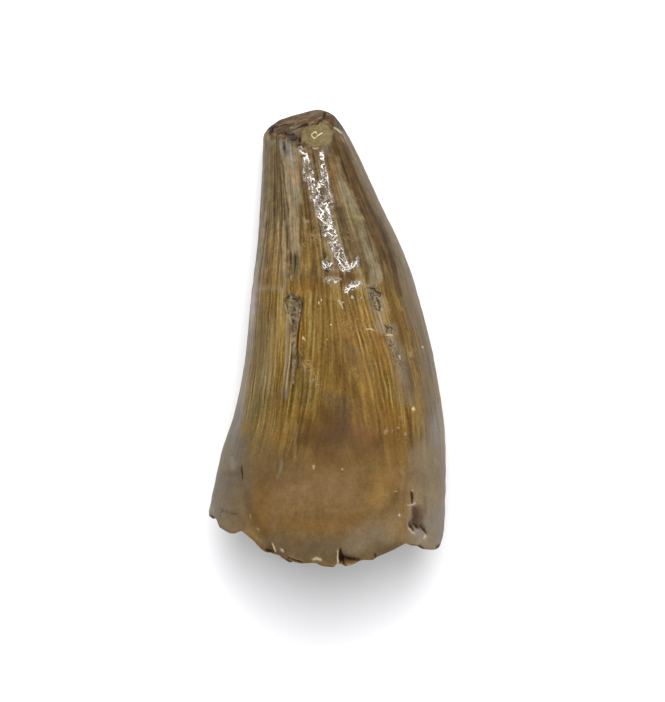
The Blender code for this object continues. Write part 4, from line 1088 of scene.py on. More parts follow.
# the worm-like pitting of the right band
squiggle_zone = most(
    soft(marks.paths([((372, 289, 4), (376, 298, 5.5), (378, 308, 4.5))])),
    0.85 * soft(marks.paths([((387, 326, 4), (389, 334, 4.4), (391, 345, 4.6), (397, 357, 4.6), (402, 366, 4))])),
    0.30 * soft(marks.paths([((374, 268, 6), (377, 280, 6))])),
) * upper
worms = np.abs(fractal(P * np.array([4.6, 4.2, 4.6]), 2, 0.5, 111))
lift -= squiggle_zone * 0.030 * (1 - smooth(0.03, 0.13, worms))
knobs = marks.paths([((373.5, 266, 4.5), (375.5, 276, 6), (373, 285, 4))])
lift += upper * 0.030 * solid(knobs, 0.4) * (0.7 + 0.6 * fractal(P * 4.5, 3, 0.6, 167))
# chips out of the broken edge; the dark inside seen through them is painted shade
CHIPS = (
    (0.25, ((340.6, 551, 1.2), (341.4, 556, 2.6), (342.4, 562.4, 2.4))),
    (0.20, ((343.5, 556.4, 2.2), (349, 558.0, 2.0), (355, 559.0, 1.5), (359, 559.8, 0.8))),
    (0.16, ((288, 558.4, 0.9), (292.4, 560.2, 1.5), (297.6, 562.0, 1.4), (303, 563.6, 0.9))),
)
for depth_mm, points in CHIPS:
    lift -= upper * depth_mm * solid(marks.paths([points], steady=True), 0.35)
gouge = marks.paths([((416, 509, 3), (418, 517, 4.5), (416, 524, 5))])
lift -= upper * 0.07 * soft(gouge) * (0.7 + 0.8 * fractal(P * 4.0, 3, 0.6, 169))
flake_lip = marks.paths([((418, 543, 2.6), (421, 539.5, 3.4), (424, 536.6, 3))])
lift += upper * 0.05 * solid(flake_lip, 0.4)

# the tip
lift -= upper * 0.060 * np.exp(-(tip_line**2) * 0.8)
lift -= upper * 0.080 * solid(tip_pits, 0.35)
facing = smooth(0.10, 0.45, N[..., 2])
lift += top_break * facing * 0.030 * fractal(strata * np.array([6.5, 0.9, 2.0]), 3, 0.6, 113)
lift += top_break * 0.022 * fractal(P * 2.6, 3, 0.5, 117)
lift -= wear * 0.030 * (1 - np.clip(disc, 0, 1) ** 2)
ringlet = np.hypot((cx - 314.4) / 3.5, (cy - 135.0) / 2.7) + 0.16 * noise(P * 5.0, 119)
lift += wear * 0.014 * np.exp(-(((ringlet - 1) / 0.28) ** 2))

# the broken base and the hollow
grain = fractal(P * 6.0, 3, 0.6, 121)
lift += (kind == 1) * 0.030 * grain * smooth(0.0, 0.1, inward)
hollow_lumps = smooth(0.05, 0.55, fractal(P * 1.1, 3, 0.55, 125))
lift += (kind == 0) * (
    0.07 * fractal(P * np.array([1.6, 0.6, 1.6]), 3, 0.5, 127)
    + 0.10 * hollow_lumps
    + 0.035 * grain * (0.3 + hollow_lumps)
    + 0.012 * np.sin(2 * np.pi * P[..., 1] / 0.32 + noise(P * 0.8, 129))
) * (depth < 0.9)
# chips along the lower part of the outer rim
rim_near = np.exp(-((P[..., 1] - edge[None, :]) / 0.22) ** 2) * (kind == 2)
lift -= rim_near * 0.035 * smooth(0.1, 0.6, noise(ring_of * 1.7, 131))[None, :]
# a stray long crack and worn patches on the underside
under_line = np.abs(np.degrees(turn)[None, :] - (262 + 3.0 * noise(flow * np.array([0, 0, 0.7]), 133) + 0.8 * P[..., 1]))
under_crack = np.exp(-((under_line / 0.9) ** 2)) * (kind == 2) * smooth(-8.8, -7.0, P[..., 1]) * (1 - smooth(4.0, 6.0, P[..., 1]))
side_line = np.abs((np.degrees(turn)[None, :] + 180) % 360 - 180 - (-18 + 2.5 * noise(flow * np.array([0, 0, 0.5]) + 9, 137) - 0.6 * P[..., 1]))
side_crack = np.exp(-((side_line / 0.8) ** 2)) * (kind == 2) * smooth(-8.9, -8.0, P[..., 1]) * (1 - smooth(-1.0, 1.5, P[..., 1]))
lift -= 0.06 * under_crack + 0.05 * side_crack

P = P + N * lift[..., None]
# It rests on a small flat worn under it.
P[..., 2] = np.maximum(P[..., 2], 0.0)

# ---------------------------------------------------------------- the mesh
rings = P.shape[0]
P_all = P.reshape(-1, 3)
ends = np.array([P[0].mean(axis=0), P[-1].mean(axis=0)])
coords = (np.vstack([P_all, ends]) + SHIFT) * MM
a = np.arange(rings - 1)[:, None] * AROUND + np.arange(AROUND)[None, :]
b = np.arange(rings - 1)[:, None] * AROUND + (np.arange(AROUND)[None, :] + 1) % AROUND
quads = np.stack([a, a + AROUND, b + AROUND, b], axis=-1).reshape(-1, 4)
first, last = rings * AROUND, rings * AROUND + 1
low_fan = [(first, int(i), int((i + 1) % AROUND)) for i in range(AROUND)]
top = (rings - 1) * AROUND
high_fan = [(last, top + int((i + 1) % AROUND), top + int(i)) for i in range(AROUND)]
faces = quads.tolist() + low_fan + high_fan

mesh = bpy.data.meshes.new("tooth_crown")
mesh.from_pydata(coords.tolist(), [], faces)
mesh.shade_smooth()

# A map of the surface: round the tooth across, hollow to tip up.
step = np.linalg.norm(np.diff(P.mean(axis=1), axis=0), axis=-1)
length = np.linalg.norm(np.diff(P, axis=0), axis=-1).mean(axis=1)
climb = np.concatenate([[0], np.cumsum(np.maximum(length, 0.03))])
climb = 0.01 + 0.98 * climb / climb[-1]
uv = mesh.uv_layers.new(name="OFBake")
col = np.arange(AROUND)
u0 = 0.005 + 0.99 * col / AROUND
u1 = 0.005 + 0.99 * (col + 1) / AROUND
v0, v1 = climb[:-1], climb[1:]
grid = np.empty((rings - 1, AROUND, 4, 2))
grid[..., 0, 0], grid[..., 0, 1] = u0[None, :], v0[:, None]
grid[..., 1, 0], grid[..., 1, 1] = u0[None, :], v1[:, None]
grid[..., 2, 0], grid[..., 2, 1] = u1[None, :], v1[:, None]
grid[..., 3, 0], grid[..., 3, 1] = u1[None, :], v0[:, None]
fan = np.empty((2, AROUND, 3, 2))
fan[0, :, 0, 0], fan[0, :, 0, 1] = (u0 + u1) / 2, 0.002
fan[0, :, 1, 0], fan[0, :, 1, 1] = u0, climb[0]
fan[0, :, 2, 0], fan[0, :, 2, 1] = u1, climb[0]
fan[1, :, 0, 0], fan[1, :, 0, 1] = (u0 + u1) / 2, 0.998
fan[1, :, 1, 0], fan[1, :, 1, 1] = u1, climb[-1]
fan[1, :, 2, 0], fan[1, :, 2, 1] = u0, climb[-1]
uv.data.foreach_set("uv", np.concatenate([grid.ravel(), fan.ravel()]).astype(np.float32))


def keep_at_corners(name, here, there):
    """A value that jumps where the rings close: here at each vertex, there at the next one round."""
    grid = np.stack([here[:-1], here[1:], there[1:], there[:-1]], axis=-1).ravel()
    low, high = here[0], here[-1]
    low_next, high_next = there[0], there[-1]
    fans = np.concatenate([
        np.stack([low, low, low_next], axis=-1).ravel(), np.stack([high, high_next, high], axis=-1).ravel()
    ])
    layer = mesh.attributes.new(name, "FLOAT", "CORNER")
    layer.data.foreach_set("value", np.concatenate([grid, fans]).astype(np.float32))


def keep(name, values, vector=False):
    values = np.asarray(values, float)
    if vector:
        flat = values.reshape(-1, 3)
        flat = np.vstack([flat, flat[:AROUND].mean(axis=0), flat[-AROUND:].mean(axis=0)])
        layer = mesh.attributes.new(name, "FLOAT_VECTOR", "POINT")
        layer.data.foreach_set("vector", flat.astype(np.float32).ravel())
        return
    flat = np.broadcast_to(values, P.shape[:-1]).reshape(-1)
    flat = np.concatenate([flat, [flat[:AROUND].mean(), flat[-AROUND:].mean()]])
    layer = mesh.attributes.new(name, "FLOAT", "POINT")
    layer.data.foreach_set("value", flat.astype(np.float32))


keep("flow", flow, vector=True)
keep("place", P, vector=True)
keep_at_corners("count", unwound, np.concatenate([unwound[:, 1:], unwound[:, :1] + STRIAE], axis=1))
keep("ridged", np.where(outer, zone * streaky * (1 - 0.65 * right_side), 0) * (1 - top_break))
keep("chart", np.stack([cx, cy, np.where(on_top, 0.0, 60.0)], axis=-1), vector=True)
keep("tint", tint, vector=True)
keep("lower", lower)
keep("high", 1 - smooth(255, 305, line))
keep("paint", paint, vector=True)
keep("cover", cover)
keep("flakes", flakes)
keep("specks_and_glints", specks_and_glints)
keep("matrix", matrix)
keep("pit_dark", pit_dark)
keep("pit_lip", pit_lip)
keep("slots", least(slots, np.where(under_crack > 0.02, 1.2 - under_crack, 4.0),
                    np.where(side_crack > 0.02, 1.2 - side_crack, 4.0)))
keep("fibres", fibres)
keep("worms", squiggle_zone)
keep("fracture", np.where(kind == 1, smooth(0.0, 0.06, inward), top_break * outer))
keep("strata", strata, vector=True)
keep("inward", np.where(kind == 1, inward, np.where(kind == 0, 1.0, 0.0)))
keep("hollow", np.where(kind == 0, 0.25 + 0.75 * depth, 0.0))
keep("lumps", np.where(kind == 0, hollow_lumps, 0.0))
# painted shade: the lower half of the mouth and its broken wall are darkened
keep("shaded_mouth", np.where(kind <= 1, smooth(0.15, 0.6, -sine)[None, :] * smooth(0.10, 0.35, np.where(kind == 1, inward, 1.0)) * (depth < 0.5), 0.0))
keep("wear", wear)
keep("disc_rim", np.exp(-(((disc - 0.97) / 0.035) ** 2)) * (cx > 322) * (cy > 124) * upper)

# where the coat over the enamel is wrinkled
WRINKLED = (
    ((300, 147, 2.6), (304, 153, 3.0), (307, 160, 3.4), (305, 168, 3.2), (304, 177, 2.4)),
    ((304, 179, 2.4), (311, 184, 4.2), (316, 188, 4.2)),
    ((309, 165, 3), (313, 175, 3)),
    ((321, 152, 2.2), (323, 161, 3), (323.5, 171, 4.2), (326, 181, 4.4), (329, 191, 3.2), (330.5, 198, 3.0), (332, 206, 3)),
    ((309, 178, 3), (316, 182, 4.6), (324, 187, 5)),
    ((311, 190, 3), (319, 195, 7), (324, 204, 8)),
    ((313, 196, 3.2), (317, 203, 5.4), (322, 211, 7.4), (326, 221, 8.2), (329, 231, 8), (333.5, 242, 7), (339, 252, 6.6), (341.5, 261, 7), (343, 268, 4)),
    ((348, 268, 4), (354, 265, 4.6), (357.5, 258, 3)),
    ((324, 260.5, 4.0), (328, 266, 7)),
    ((328, 280, 3.4), (333, 281, 4.6), (339, 280, 3)),
    ((348, 290.5, 4.6), (354, 285.5, 5), (361, 282, 2.8)),
)
wrinkle = marks.paths(WRINKLED, rest=3.0)
keep("wrinkle", np.clip(1.5 - wrinkle, -1.5, 1.0) * (upper > 0.5) * 0.75)

tooth = bpy.data.objects.new("tooth_crown", mesh)
bpy.context.scene.collection.objects.link(tooth)


# ---------------------------------------------------------------- materials
class Weave:
    """Short names for building one material's nodes."""

    def __init__(self, tree):
        self.tree = tree

    def put(self, socket, value):
        if isinstance(value, bpy.types.NodeSocket):
            self.tree.links.new(value, socket)
        elif value is not None:
            socket.default_value = value

    def attr(self, name, vector=False):
        node = self.tree.nodes.new("ShaderNodeAttribute")
        node.attribute_name = name
        return node.outputs["Vector" if vector else "Fac"]

    def vector(self, how, a, b, out="Vector"):
        node = self.tree.nodes.new("ShaderNodeVectorMath")
        node.operation = how
        self.put(node.inputs[0], a)
        self.put(node.inputs[1], b)
        return node.outputs[out]

    def strokes(self, point, table):
        """Distance from thin paths on the chart, in their half widths."""
        best = 9.0
        for points in table:
            for (ax, ay, aw), (bx, by, bw) in zip(points, points[1:]):
                dx, dy = bx - ax, by - ay
                size = dx * dx + dy * dy
                node = self.tree.nodes.new("ShaderNodeGroup")
                node.node_tree = stroke_group()
                node.inputs["From"].default_value = (ax, ay, 0)
                node.inputs["Along"].default_value = (dx, dy, 0)
                node.inputs["Measure"].default_value = (dx / size, dy / size, 0)
                node.inputs["Width"].default_value = aw
                node.inputs["Widening"].default_value = bw - aw
                self.put(node.inputs["Point"], point)
                self.put(node.inputs["Best"], best)
                best = node.outputs["Best"]
        return best

    def dice(self, value):
        """A random number for each whole number."""
        node = self.tree.nodes.new("ShaderNodeTexWhiteNoise")
        node.noise_dimensions = "1D"
        self.put(node.inputs["W"], value)
        return node.outputs["Value"]

    def swirl(self, vector, scale, detail, by):
        """A noise vector about nothing."""
        node = self.tree.nodes.new("ShaderNodeTexNoise")
        self.put(node.inputs["Vector"], vector)
        node.inputs["Scale"].default_value = scale
        node.inputs["Detail"].default_value = detail
        return self.scale(self.vector("SUBTRACT", node.outputs["Color"], (0.5, 0.5, 0.5)), by)

    def math(self, how, a, b=None, c=None, clamp=False):
        node = self.tree.nodes.new("ShaderNodeMath")
        node.operation = how
        node.use_clamp = clamp
        for socket, value in zip(node.inputs, (a, b, c)):
            self.put(socket, value)
        return node.outputs[0]

    def times(self, vector, by):
        node = self.tree.nodes.new("ShaderNodeVectorMath")
        node.operation = "MULTIPLY"
        self.put(node.inputs[0], vector)
        node.inputs[1].default_value = by
        return node.outputs[0]

    def scale(self, vector, by):
        node = self.tree.nodes.new("ShaderNodeVectorMath")
        node.operation = "SCALE"
        self.put(node.inputs[0], vector)
        self.put(node.inputs["Scale"], by)
        return node.outputs[0]

    def noise(self, vector, scale, detail=3.0, rough=0.55, distort=0.0):
        node = self.tree.nodes.new("ShaderNodeTexNoise")
        self.put(node.inputs["Vector"], vector)
        node.inputs["Scale"].default_value = scale
        node.inputs["Detail"].default_value = detail
        node.inputs["Roughness"].default_value = rough
        node.inputs["Distortion"].default_value = distort
        return node.outputs["Fac"]

    def cells(self, vector, scale, feature="F1"):
        node = self.tree.nodes.new("ShaderNodeTexVoronoi")
        node.feature = feature
        self.put(node.inputs["Vector"], vector)
        node.inputs["Scale"].default_value = scale
        return node.outputs["Distance"]

    def span(self, value, low, high, to_low=0.0, to_high=1.0, how="SMOOTHSTEP"):
        node = self.tree.nodes.new("ShaderNodeMapRange")
        node.interpolation_type = how
        self.put(node.inputs["Value"], value)
        node.inputs["From Min"].default_value = low
        node.inputs["From Max"].default_value = high
        node.inputs["To Min"].default_value = to_low
        node.inputs["To Max"].default_value = to_high
        return node.outputs["Result"]

    def mix(self, share, a, b, how="MIX"):
        node = self.tree.nodes.new("ShaderNodeMix")
        node.data_type = "RGBA"
        node.blend_type = how
        node.clamp_factor = True
        self.put(node.inputs[0], share)
        self.put(node.inputs[6], a)
        self.put(node.inputs[7], b)
        return node.outputs[2]

    def ramp(self, value, stops):
        node = self.tree.nodes.new("ShaderNodeValToRGB")
        while len(node.color_ramp.elements) < len(stops):
            node.color_ramp.elements.new(0.5)
        for element, (at, colour) in zip(node.color_ramp.elements, stops):
            element.position = at
            element.color = colour
        self.put(node.inputs[0], value)
        return node.outputs[0]


def stroke_group():
    """One piece of a thin path: the lesser of its distance, in half widths, and the best so far."""
    if "thin_stroke" in bpy.data.node_groups:
        return bpy.data.node_groups["thin_stroke"]
    tree = bpy.data.node_groups.new("thin_stroke", "ShaderNodeTree")
    for name, kind in (("Point", "NodeSocketVector"), ("From", "NodeSocketVector"), ("Along", "NodeSocketVector"),
                       ("Measure", "NodeSocketVector"), ("Width", "NodeSocketFloat"),
                       ("Widening", "NodeSocketFloat"), ("Best", "NodeSocketFloat")):
        tree.interface.new_socket(name, in_out="INPUT", socket_type=kind)
    tree.interface.new_socket("Best", in_out="OUTPUT", socket_type="NodeSocketFloat")
    w = Weave(tree)
    given = tree.nodes.new("NodeGroupInput").outputs
    result = tree.nodes.new("NodeGroupOutput")
    # Each hangs a hair's breadth on the one before, so that they are worked out in turn.
    point = w.vector("ADD", given["Point"], w.scale((1e-7, 0, 0), given["Best"]))
    off = w.vector("SUBTRACT", point, given["From"])
    along = w.math("MULTIPLY", w.vector("DOT_PRODUCT", off, given["Measure"], "Value"), 1.0, clamp=True)
    gap = w.vector("DISTANCE", off, w.scale(given["Along"], along), "Value")
    wide = w.math("MULTIPLY_ADD", along, given["Widening"], given["Width"])
    w.put(result.inputs["Best"], w.math("MINIMUM", given["Best"], w.math("DIVIDE", gap, wide)))
    return tree


def crisp(w, distance, grit, reach=0.35, edge=0.18):
    """1 inside a distance field and 0 outside it, with a gritty edge."""
    shaken = w.math("MULTIPLY_ADD", grit, reach, distance)
    return w.span(shaken, 1.0 - edge, 1.0 + edge, 1.0, 0.0)


def tooth_material():
    mat = bpy.data.materials.new("fossil_enamel")
    mat.use_nodes = True
    tree = mat.node_tree
    tree.nodes.clear()
    w = Weave(tree)
    out = tree.nodes.new("ShaderNodeOutputMaterial")
    shader = tree.nodes.new("ShaderNodeBsdfPrincipled")
    tree.links.new(shader.outputs[0], out.inputs[0])

    flow = w.attr("flow", True)
    place = w.attr("place", True)
    ridged = w.attr("ridged")
    lower, high, fracture = w.attr("lower"), w.attr("high"), w.attr("fracture")
    wear, hollow, inward = w.attr("wear"), w.attr("hollow"), w.attr("inward")

    # patterns, scales in mm
    broad = w.noise(w.times(flow, (1, 1, 0.10)), 1.1, 3, 0.55)
    streak = w.noise(w.times(flow, (1, 1, 0.08)), 3.6, 4, 0.62)
    hair = w.noise(w.times(flow, (1, 1, 0.10)), 12.0, 3, 0.62)
    vein = w.math("ABSOLUTE", w.math("SUBTRACT", w.noise(w.times(flow, (1, 1, 0.07)), 5.0, 2, 0.55), 0.5))
    cloud = w.noise(place, 0.55, 4, 0.55)
    mottle = w.noise(place, 2.6, 4, 0.62)
    fine = w.noise(place, 9.0, 3, 0.65)
    grit = w.noise(place, 17.0, 2, 0.6)
    about = {"mottle": w.math("SUBTRACT", mottle, 0.5), "fine": w.math("SUBTRACT", fine, 0.5),
             "hair": w.math("SUBTRACT", hair, 0.5), "streak": w.math("SUBTRACT", streak, 0.5),
             "broad": w.math("SUBTRACT", broad, 0.5), "cloud": w.math("SUBTRACT", cloud, 0.5)}

    # enamel: straw-coloured ridges over amber, no two alike, and each broken up along its length
    count = w.math("MULTIPLY_ADD", w.math("SUBTRACT", w.noise(w.times(flow, (1, 1, 0.5)), 1.7, 1), 0.5), 0.5, w.attr("count"))
    whole = w.math("MODULO", w.math("FLOOR", w.math("ADD", count, 0.5)), float(STRIAE))
    crest = w.math("POWER", w.math("MULTIPLY_ADD", w.math("COSINE", w.math("MULTIPLY", count, 2 * math.pi)), 0.5, 0.5), 1.7)
    own = w.dice(whole)
    again = w.dice(w.math("ADD", whole, 0.5))
    broken_up = w.span(w.noise(w.times(flow, (1.6, 1.6, 0.34)), 2.4, 3, 0.6), 0.34, 0.62, 0.25, 1.25)
    crest = w.math("MULTIPLY", w.math("SUBTRACT", crest, 0.34), w.math("MULTIPLY", w.math("MULTIPLY_ADD", own, 0.9, 0.35), broken_up))
    value = w.math("MULTIPLY_ADD", w.math("MULTIPLY", crest, ridged), 0.60, 0.49)
    value = w.math("MULTIPLY_ADD", w.math("MULTIPLY", w.math("SUBTRACT", again, 0.5), ridged), 0.24, value)
    value = w.math("MULTIPLY_ADD", w.math("MULTIPLY", about["streak"], w.math("MULTIPLY_ADD", high, 0.9, 1.0)), 0.95, value)
    value = w.math("MULTIPLY_ADD", w.math("MULTIPLY", about["hair"], w.math("MULTIPLY_ADD", high, 0.3, 1.0)), 0.75, value)
    value = w.math("MULTIPLY_ADD", w.math("MULTIPLY", about["mottle"], high), 0.75, value)
    value = w.math("MULTIPLY_ADD", about["fine"], 0.50, value)
    value = w.math("MULTIPLY_ADD", about["broad"], 0.42, value)
    dark_fibre = w.math("MULTIPLY", w.span(vein, 0.0, 0.022, 1.0, 0.0), w.math("MULTIPLY_ADD", high, 0.15, 0.03))
    value = w.math("SUBTRACT", value, dark_fibre)
    golden = w.ramp(value, (
        (0.08, tone(74, 47, 12)),
        (0.30, tone(110, 80, 28)),
        (0.50, tone(137, 104, 44)),
        (0.70, tone(161, 129, 64)),
        (0.92, tone(188, 160, 98)),
    ))
    olive = w.ramp(value, (
        (0.08, tone(62, 45, 20)),
        (0.30, tone(96, 74, 38)),
        (0.50, tone(122, 99, 58)),
        (0.70, tone(146, 124, 82)),
        (0.92, tone(174, 155, 118)),
    ))
    enamel = w.mix(high, golden, olive)
    # lower part: smoother tan
    low_value = w.math("MULTIPLY_ADD", about["mottle"], 0.62, 0.5)
    low_value = w.math("MULTIPLY_ADD", about["fine"], 0.46, low_value)
    low_value = w.math("MULTIPLY_ADD", about["cloud"], 0.55, low_value)
    low_value = w.math("MULTIPLY_ADD", about["hair"], 0.22, low_value)
    tan = w.ramp(low_value, (
        (0.10, tone(98, 72, 36)),
        (0.45, tone(126, 98, 58)),
        (0.75, tone(146, 118, 76)),
        (0.95, tone(162, 138, 100)),
    ))
    enamel = w.mix(lower, enamel, tan)
    # what is painted over it keeps its grain
    both = w.math("ADD", w.math("MULTIPLY", value, w.math("SUBTRACT", 1.0, lower)), w.math("MULTIPLY", low_value, lower))
    both = w.math("MULTIPLY_ADD", w.math("MULTIPLY", about["mottle"], high), 0.7, both)
    grain = w.span(both, 0.05, 0.95, 0.56, 1.44, "LINEAR")
    colour = w.mix(w.attr("cover"), enamel, (0, 0, 0, 1))
    colour = w.mix(1.0, colour, w.scale(w.attr("paint", True), grain), "ADD")
    colour = w.mix(1.0, colour, w.attr("tint", True), "MULTIPLY")

    # fibres, pitted band, matrix, flakes, slots, specks
    thread_a = w.math("ABSOLUTE", w.math("SUBTRACT", w.noise(place, 2.8, 1, 0.5, 0.8), 0.5))
    thread_b = w.math("ABSOLUTE", w.math("SUBTRACT", w.noise(w.times(place, (-1.3, 0.8, 1.0)), 3.4, 1, 0.5, 0.5), 0.5))
    thread = w.span(w.math("MINIMUM", thread_a, thread_b), 0.006, 0.018, 1.0, 0.0)
    colour = w.mix(w.math("MULTIPLY", w.math("MULTIPLY", thread, w.attr("fibres")), 0.75), colour, tone(182, 158, 108))
    worm = w.math("SUBTRACT", w.noise(place, 5.2, 2, 0.5, 1.1), 0.5)
    worm_pale = w.math("MULTIPLY", w.span(worm, 0.04, 0.10), w.attr("worms"))
    colour = w.mix(w.math("MULTIPLY", worm_pale, 0.5), colour, tone(172, 156, 124))
    worm_dark = w.math("MULTIPLY", w.span(w.math("ABSOLUTE", w.math("ADD", worm, 0.02)), 0.012, 0.055, 1.0, 0.0), w.attr("worms"))
    colour = w.mix(w.math("MULTIPLY", worm_dark, 0.8), colour, tone(74, 58, 40))
    flake_at = crisp(w, w.attr("flakes"), about["mottle"], 1.5, 0.28)
    colour = w.mix(w.math("MULTIPLY", flake_at, w.span(fine, 0.35, 0.6, 0.35, 0.8)), colour, tone(168, 152, 116))
    matrix_at = crisp(w, w.attr("matrix"), about["mottle"], 0.6, 0.22)
    stone = w.ramp(w.noise(place, 4.6, 4, 0.7), (
        (0.34, tone(74, 60, 42)), (0.45, tone(120, 104, 80)), (0.56, tone(146, 131, 106)), (0.68, tone(176, 164, 138)),
    ))
    colour = w.mix(w.math("MULTIPLY", matrix_at, 0.88), colour, stone)
    pit_at = w.math("MULTIPLY", crisp(w, w.attr("pit_dark"), about["fine"], 1.1, 0.45), matrix_at)
    colour = w.mix(w.math("MULTIPLY", pit_at, 0.80), colour, tone(58, 46, 34))
    lip_at = crisp(w, w.attr("pit_lip"), about["fine"], 0.8, 0.3)
    colour = w.mix(w.math("MULTIPLY", lip_at, 0.75), colour, tone(178, 160, 118))
    # thin marks on the chart, shaken a little
    chart_at = w.vector("ADD", w.attr("chart", True), w.times(w.swirl(place, 2.2, 1, 2.6), (1, 1, 0)))
    chart_at = w.vector("ADD", chart_at, w.times(w.swirl(place, 7.0, 1, 1.6), (1, 1, 0)))
    thin = w.strokes(chart_at, FINE_DARK)
    slot_at = w.math("MAXIMUM", w.math("MULTIPLY", crisp(w, w.attr("slots"), about["fine"], 1.1, 0.5), 0.45),
                     crisp(w, thin, about["fine"], 1.4, 0.5))
    colour = w.mix(w.math("MULTIPLY", slot_at, 0.80), colour, tone(56, 41, 26))
    # bright specks; some are painted glints
    speck_and_glint_at = crisp(w, w.attr("specks_and_glints"), about["fine"], 1.0, 0.35)
    colour = w.mix(w.math("MULTIPLY", speck_and_glint_at, w.span(grit, 0.35, 0.6, 0.55, 0.95)), colour, tone(228, 213, 174))
    # pale chips, and painted highlights
    pale_chip_and_glint_at = crisp(w, w.strokes(chart_at, PALE_CHIPS_AND_GLINTS), about["fine"], 1.4, 0.4)
    colour = w.mix(w.math("MULTIPLY", pale_chip_and_glint_at, 0.85), colour, tone(204, 190, 156))
    # painted shade where the underside and the hollow show at the broken edge
    rim_shade_at = crisp(w, w.strokes(w.attr("chart", True), RIM_SHADE), about["fine"], 1.0, 0.25)
    colour = w.mix(w.math("MULTIPLY", rim_shade_at, 0.92), colour,
                   w.mix(w.span(mottle, 0.35, 0.65), tone(46, 30, 18), tone(84, 62, 38)))

    # the round worn face
    horn = w.mix(w.span(mottle, 0.35, 0.65), tone(118, 98, 58), tone(148, 128, 86))
    horn = w.mix(w.math("MULTIPLY", w.span(fine, 0.42, 0.66), 0.5), horn, tone(160, 142, 100))
    colour = w.mix(w.math("MULTIPLY", wear, 0.94), colour, horn)
    rim_at = w.math("MULTIPLY", w.attr("disc_rim"), w.span(mottle, 0.35, 0.6, 0.2, 0.75))
    colour = w.mix(rim_at, colour, tone(160, 146, 110))
    near_ring = w.vector("ADD", w.attr("chart", True), w.times(w.swirl(place, 7.0, 1, 1.2), (1, 1, 0)))
    # painted highlight: a small ring of glint on the worn face, with a darker ring painted about it
    ring_glint_at = w.span(w.strokes(near_ring, RING_GLINT), 0.55, 1.5, 1.0, 0.0)
    ring_glint_at = w.math("MULTIPLY", ring_glint_at, w.span(w.noise(place, 8.0, 1, 0.5), 0.30, 0.56, 0.45, 1.0))
    colour = w.mix(w.math("MULTIPLY", w.span(w.strokes(near_ring, RING_GLINT), 0.8, 3.4, 1.0, 0.0), 0.35), colour, tone(98, 80, 44))
    colour = w.mix(ring_glint_at, colour, tone(236, 222, 170))
    # broken surfaces: layered dentine at the tip, a thin dark shell and paler dentine at the base
    layer = w.noise(w.times(w.attr("strata", True), (6.0, 0.8, 1.6)), 1.0, 3, 0.6)
    layer = w.math("MULTIPLY_ADD", about["fine"], 0.40, layer)
    broken = w.ramp(layer, (
        (0.28, tone(72, 50, 34)),
        (0.42, tone(104, 80, 56)),
        (0.55, tone(132, 107, 78)),
        (0.74, tone(172, 147, 116)),
    ))
    shell = w.math("MULTIPLY_ADD", about["mottle"], 0.14, inward)
    wall_colour = w.ramp(shell, (
        (0.03, tone(84, 66, 42)),
        (0.12, tone(56, 40, 26)),
        (0.20, tone(150, 130, 96)),
        (0.55, tone(128, 106, 74)),
        (0.80, tone(104, 82, 56)),
        (0.97, tone(74, 58, 42)),
    ))
    wall_colour = w.mix(w.math("MULTIPLY", w.span(fine, 0.35, 0.7), 0.35), wall_colour, tone(164, 148, 122))
    at_base = w.span(inward, 0.0, 0.02, 0.0, 1.0)
    tip_share = w.math("MULTIPLY", fracture, w.math("MULTIPLY_ADD", w.attr("cover"), -0.90, 1.0))
    colour = w.mix(tip_share, colour, broken)
    colour = w.mix(w.math("MULTIPLY", fracture, at_base), colour, wall_colour)
    # the hollow
    mud = w.mix(w.span(w.noise(place, 5.0, 4, 0.7), 0.35, 0.65), tone(92, 78, 60), tone(150, 136, 112))
    inner = w.mix(w.span(mottle, 0.3, 0.7), tone(58, 42, 28), tone(96, 74, 48))
    inner = w.mix(w.attr("lumps"), inner, mud)
    colour = w.mix(w.span(hollow, 0.05, 0.2), colour, inner)
    # painted shade over the lower half of the mouth
    colour = w.mix(w.math("MULTIPLY", w.attr("shaded_mouth"), 0.85), colour, w.mix(mottle, tone(44, 29, 17), tone(74, 54, 34)))
    tip_dark = crisp(w, w.strokes(chart_at, TIP_DARK), about["fine"], 1.4, 0.5)
    colour = w.mix(w.math("MULTIPLY", tip_dark, 0.85), colour, tone(46, 31, 21))

    # the wrinkled coat: flat-topped welts with creases between them
    spread = w.math("MULTIPLY_ADD", about["mottle"], 1.0, w.attr("wrinkle"))
    wrinkle = w.span(spread, 0.30, 0.60)
    wave = w.noise(place, 2.7, 1, 0.5, 0.9)
    cross = w.noise(w.times(place, (1.0, -1.0, 1.0)), 3.6, 1, 0.5, 0.6)
    welt = w.span(w.math("ABSOLUTE", w.math("SUBTRACT", wave, 0.5)), 0.022, 0.066, 1.0, 0.0)
    seam = w.span(w.math("ABSOLUTE", w.math("SUBTRACT", cross, 0.5)), 0.014, 0.052, 1.0, 0.0)
    welt = w.math("MAXIMUM", welt, w.math("MULTIPLY", seam, w.span(mottle, 0.40, 0.52, 0.35, 1.0)))
    worm_path = w.strokes(near_ring, WORMS)
    welt = w.math("MAXIMUM", welt, w.span(w.math("MULTIPLY_ADD", about["fine"], 3.0, worm_path), 0.55, 1.05, 1.0, 0.0))
    crease_shade = w.math("MULTIPLY", w.math("MULTIPLY", welt, w.math("SUBTRACT", 1.0, welt)), 4.0)
    dull = w.ramp(w.math("MULTIPLY_ADD", about["fine"], 0.9, mottle), (
        (0.34, tone(70, 52, 34)), (0.46, tone(118, 98, 72)), (0.56, tone(142, 122, 104)), (0.68, tone(176, 164, 140)),
    ))
    colour = w.mix(w.math("MULTIPLY", wrinkle, 0.62), colour, dull)
    # painted shade: the creases beside the welts are darkened
    colour = w.mix(w.math("MULTIPLY", wrinkle, w.math("MULTIPLY", crease_shade, 0.6)), colour, tone(72, 54, 36))
    colour = w.scale(colour, w.span(grit, 0.28, 0.72, 0.90, 1.10, "LINEAR"))

    w.put(shader.inputs["Base Color"], colour)

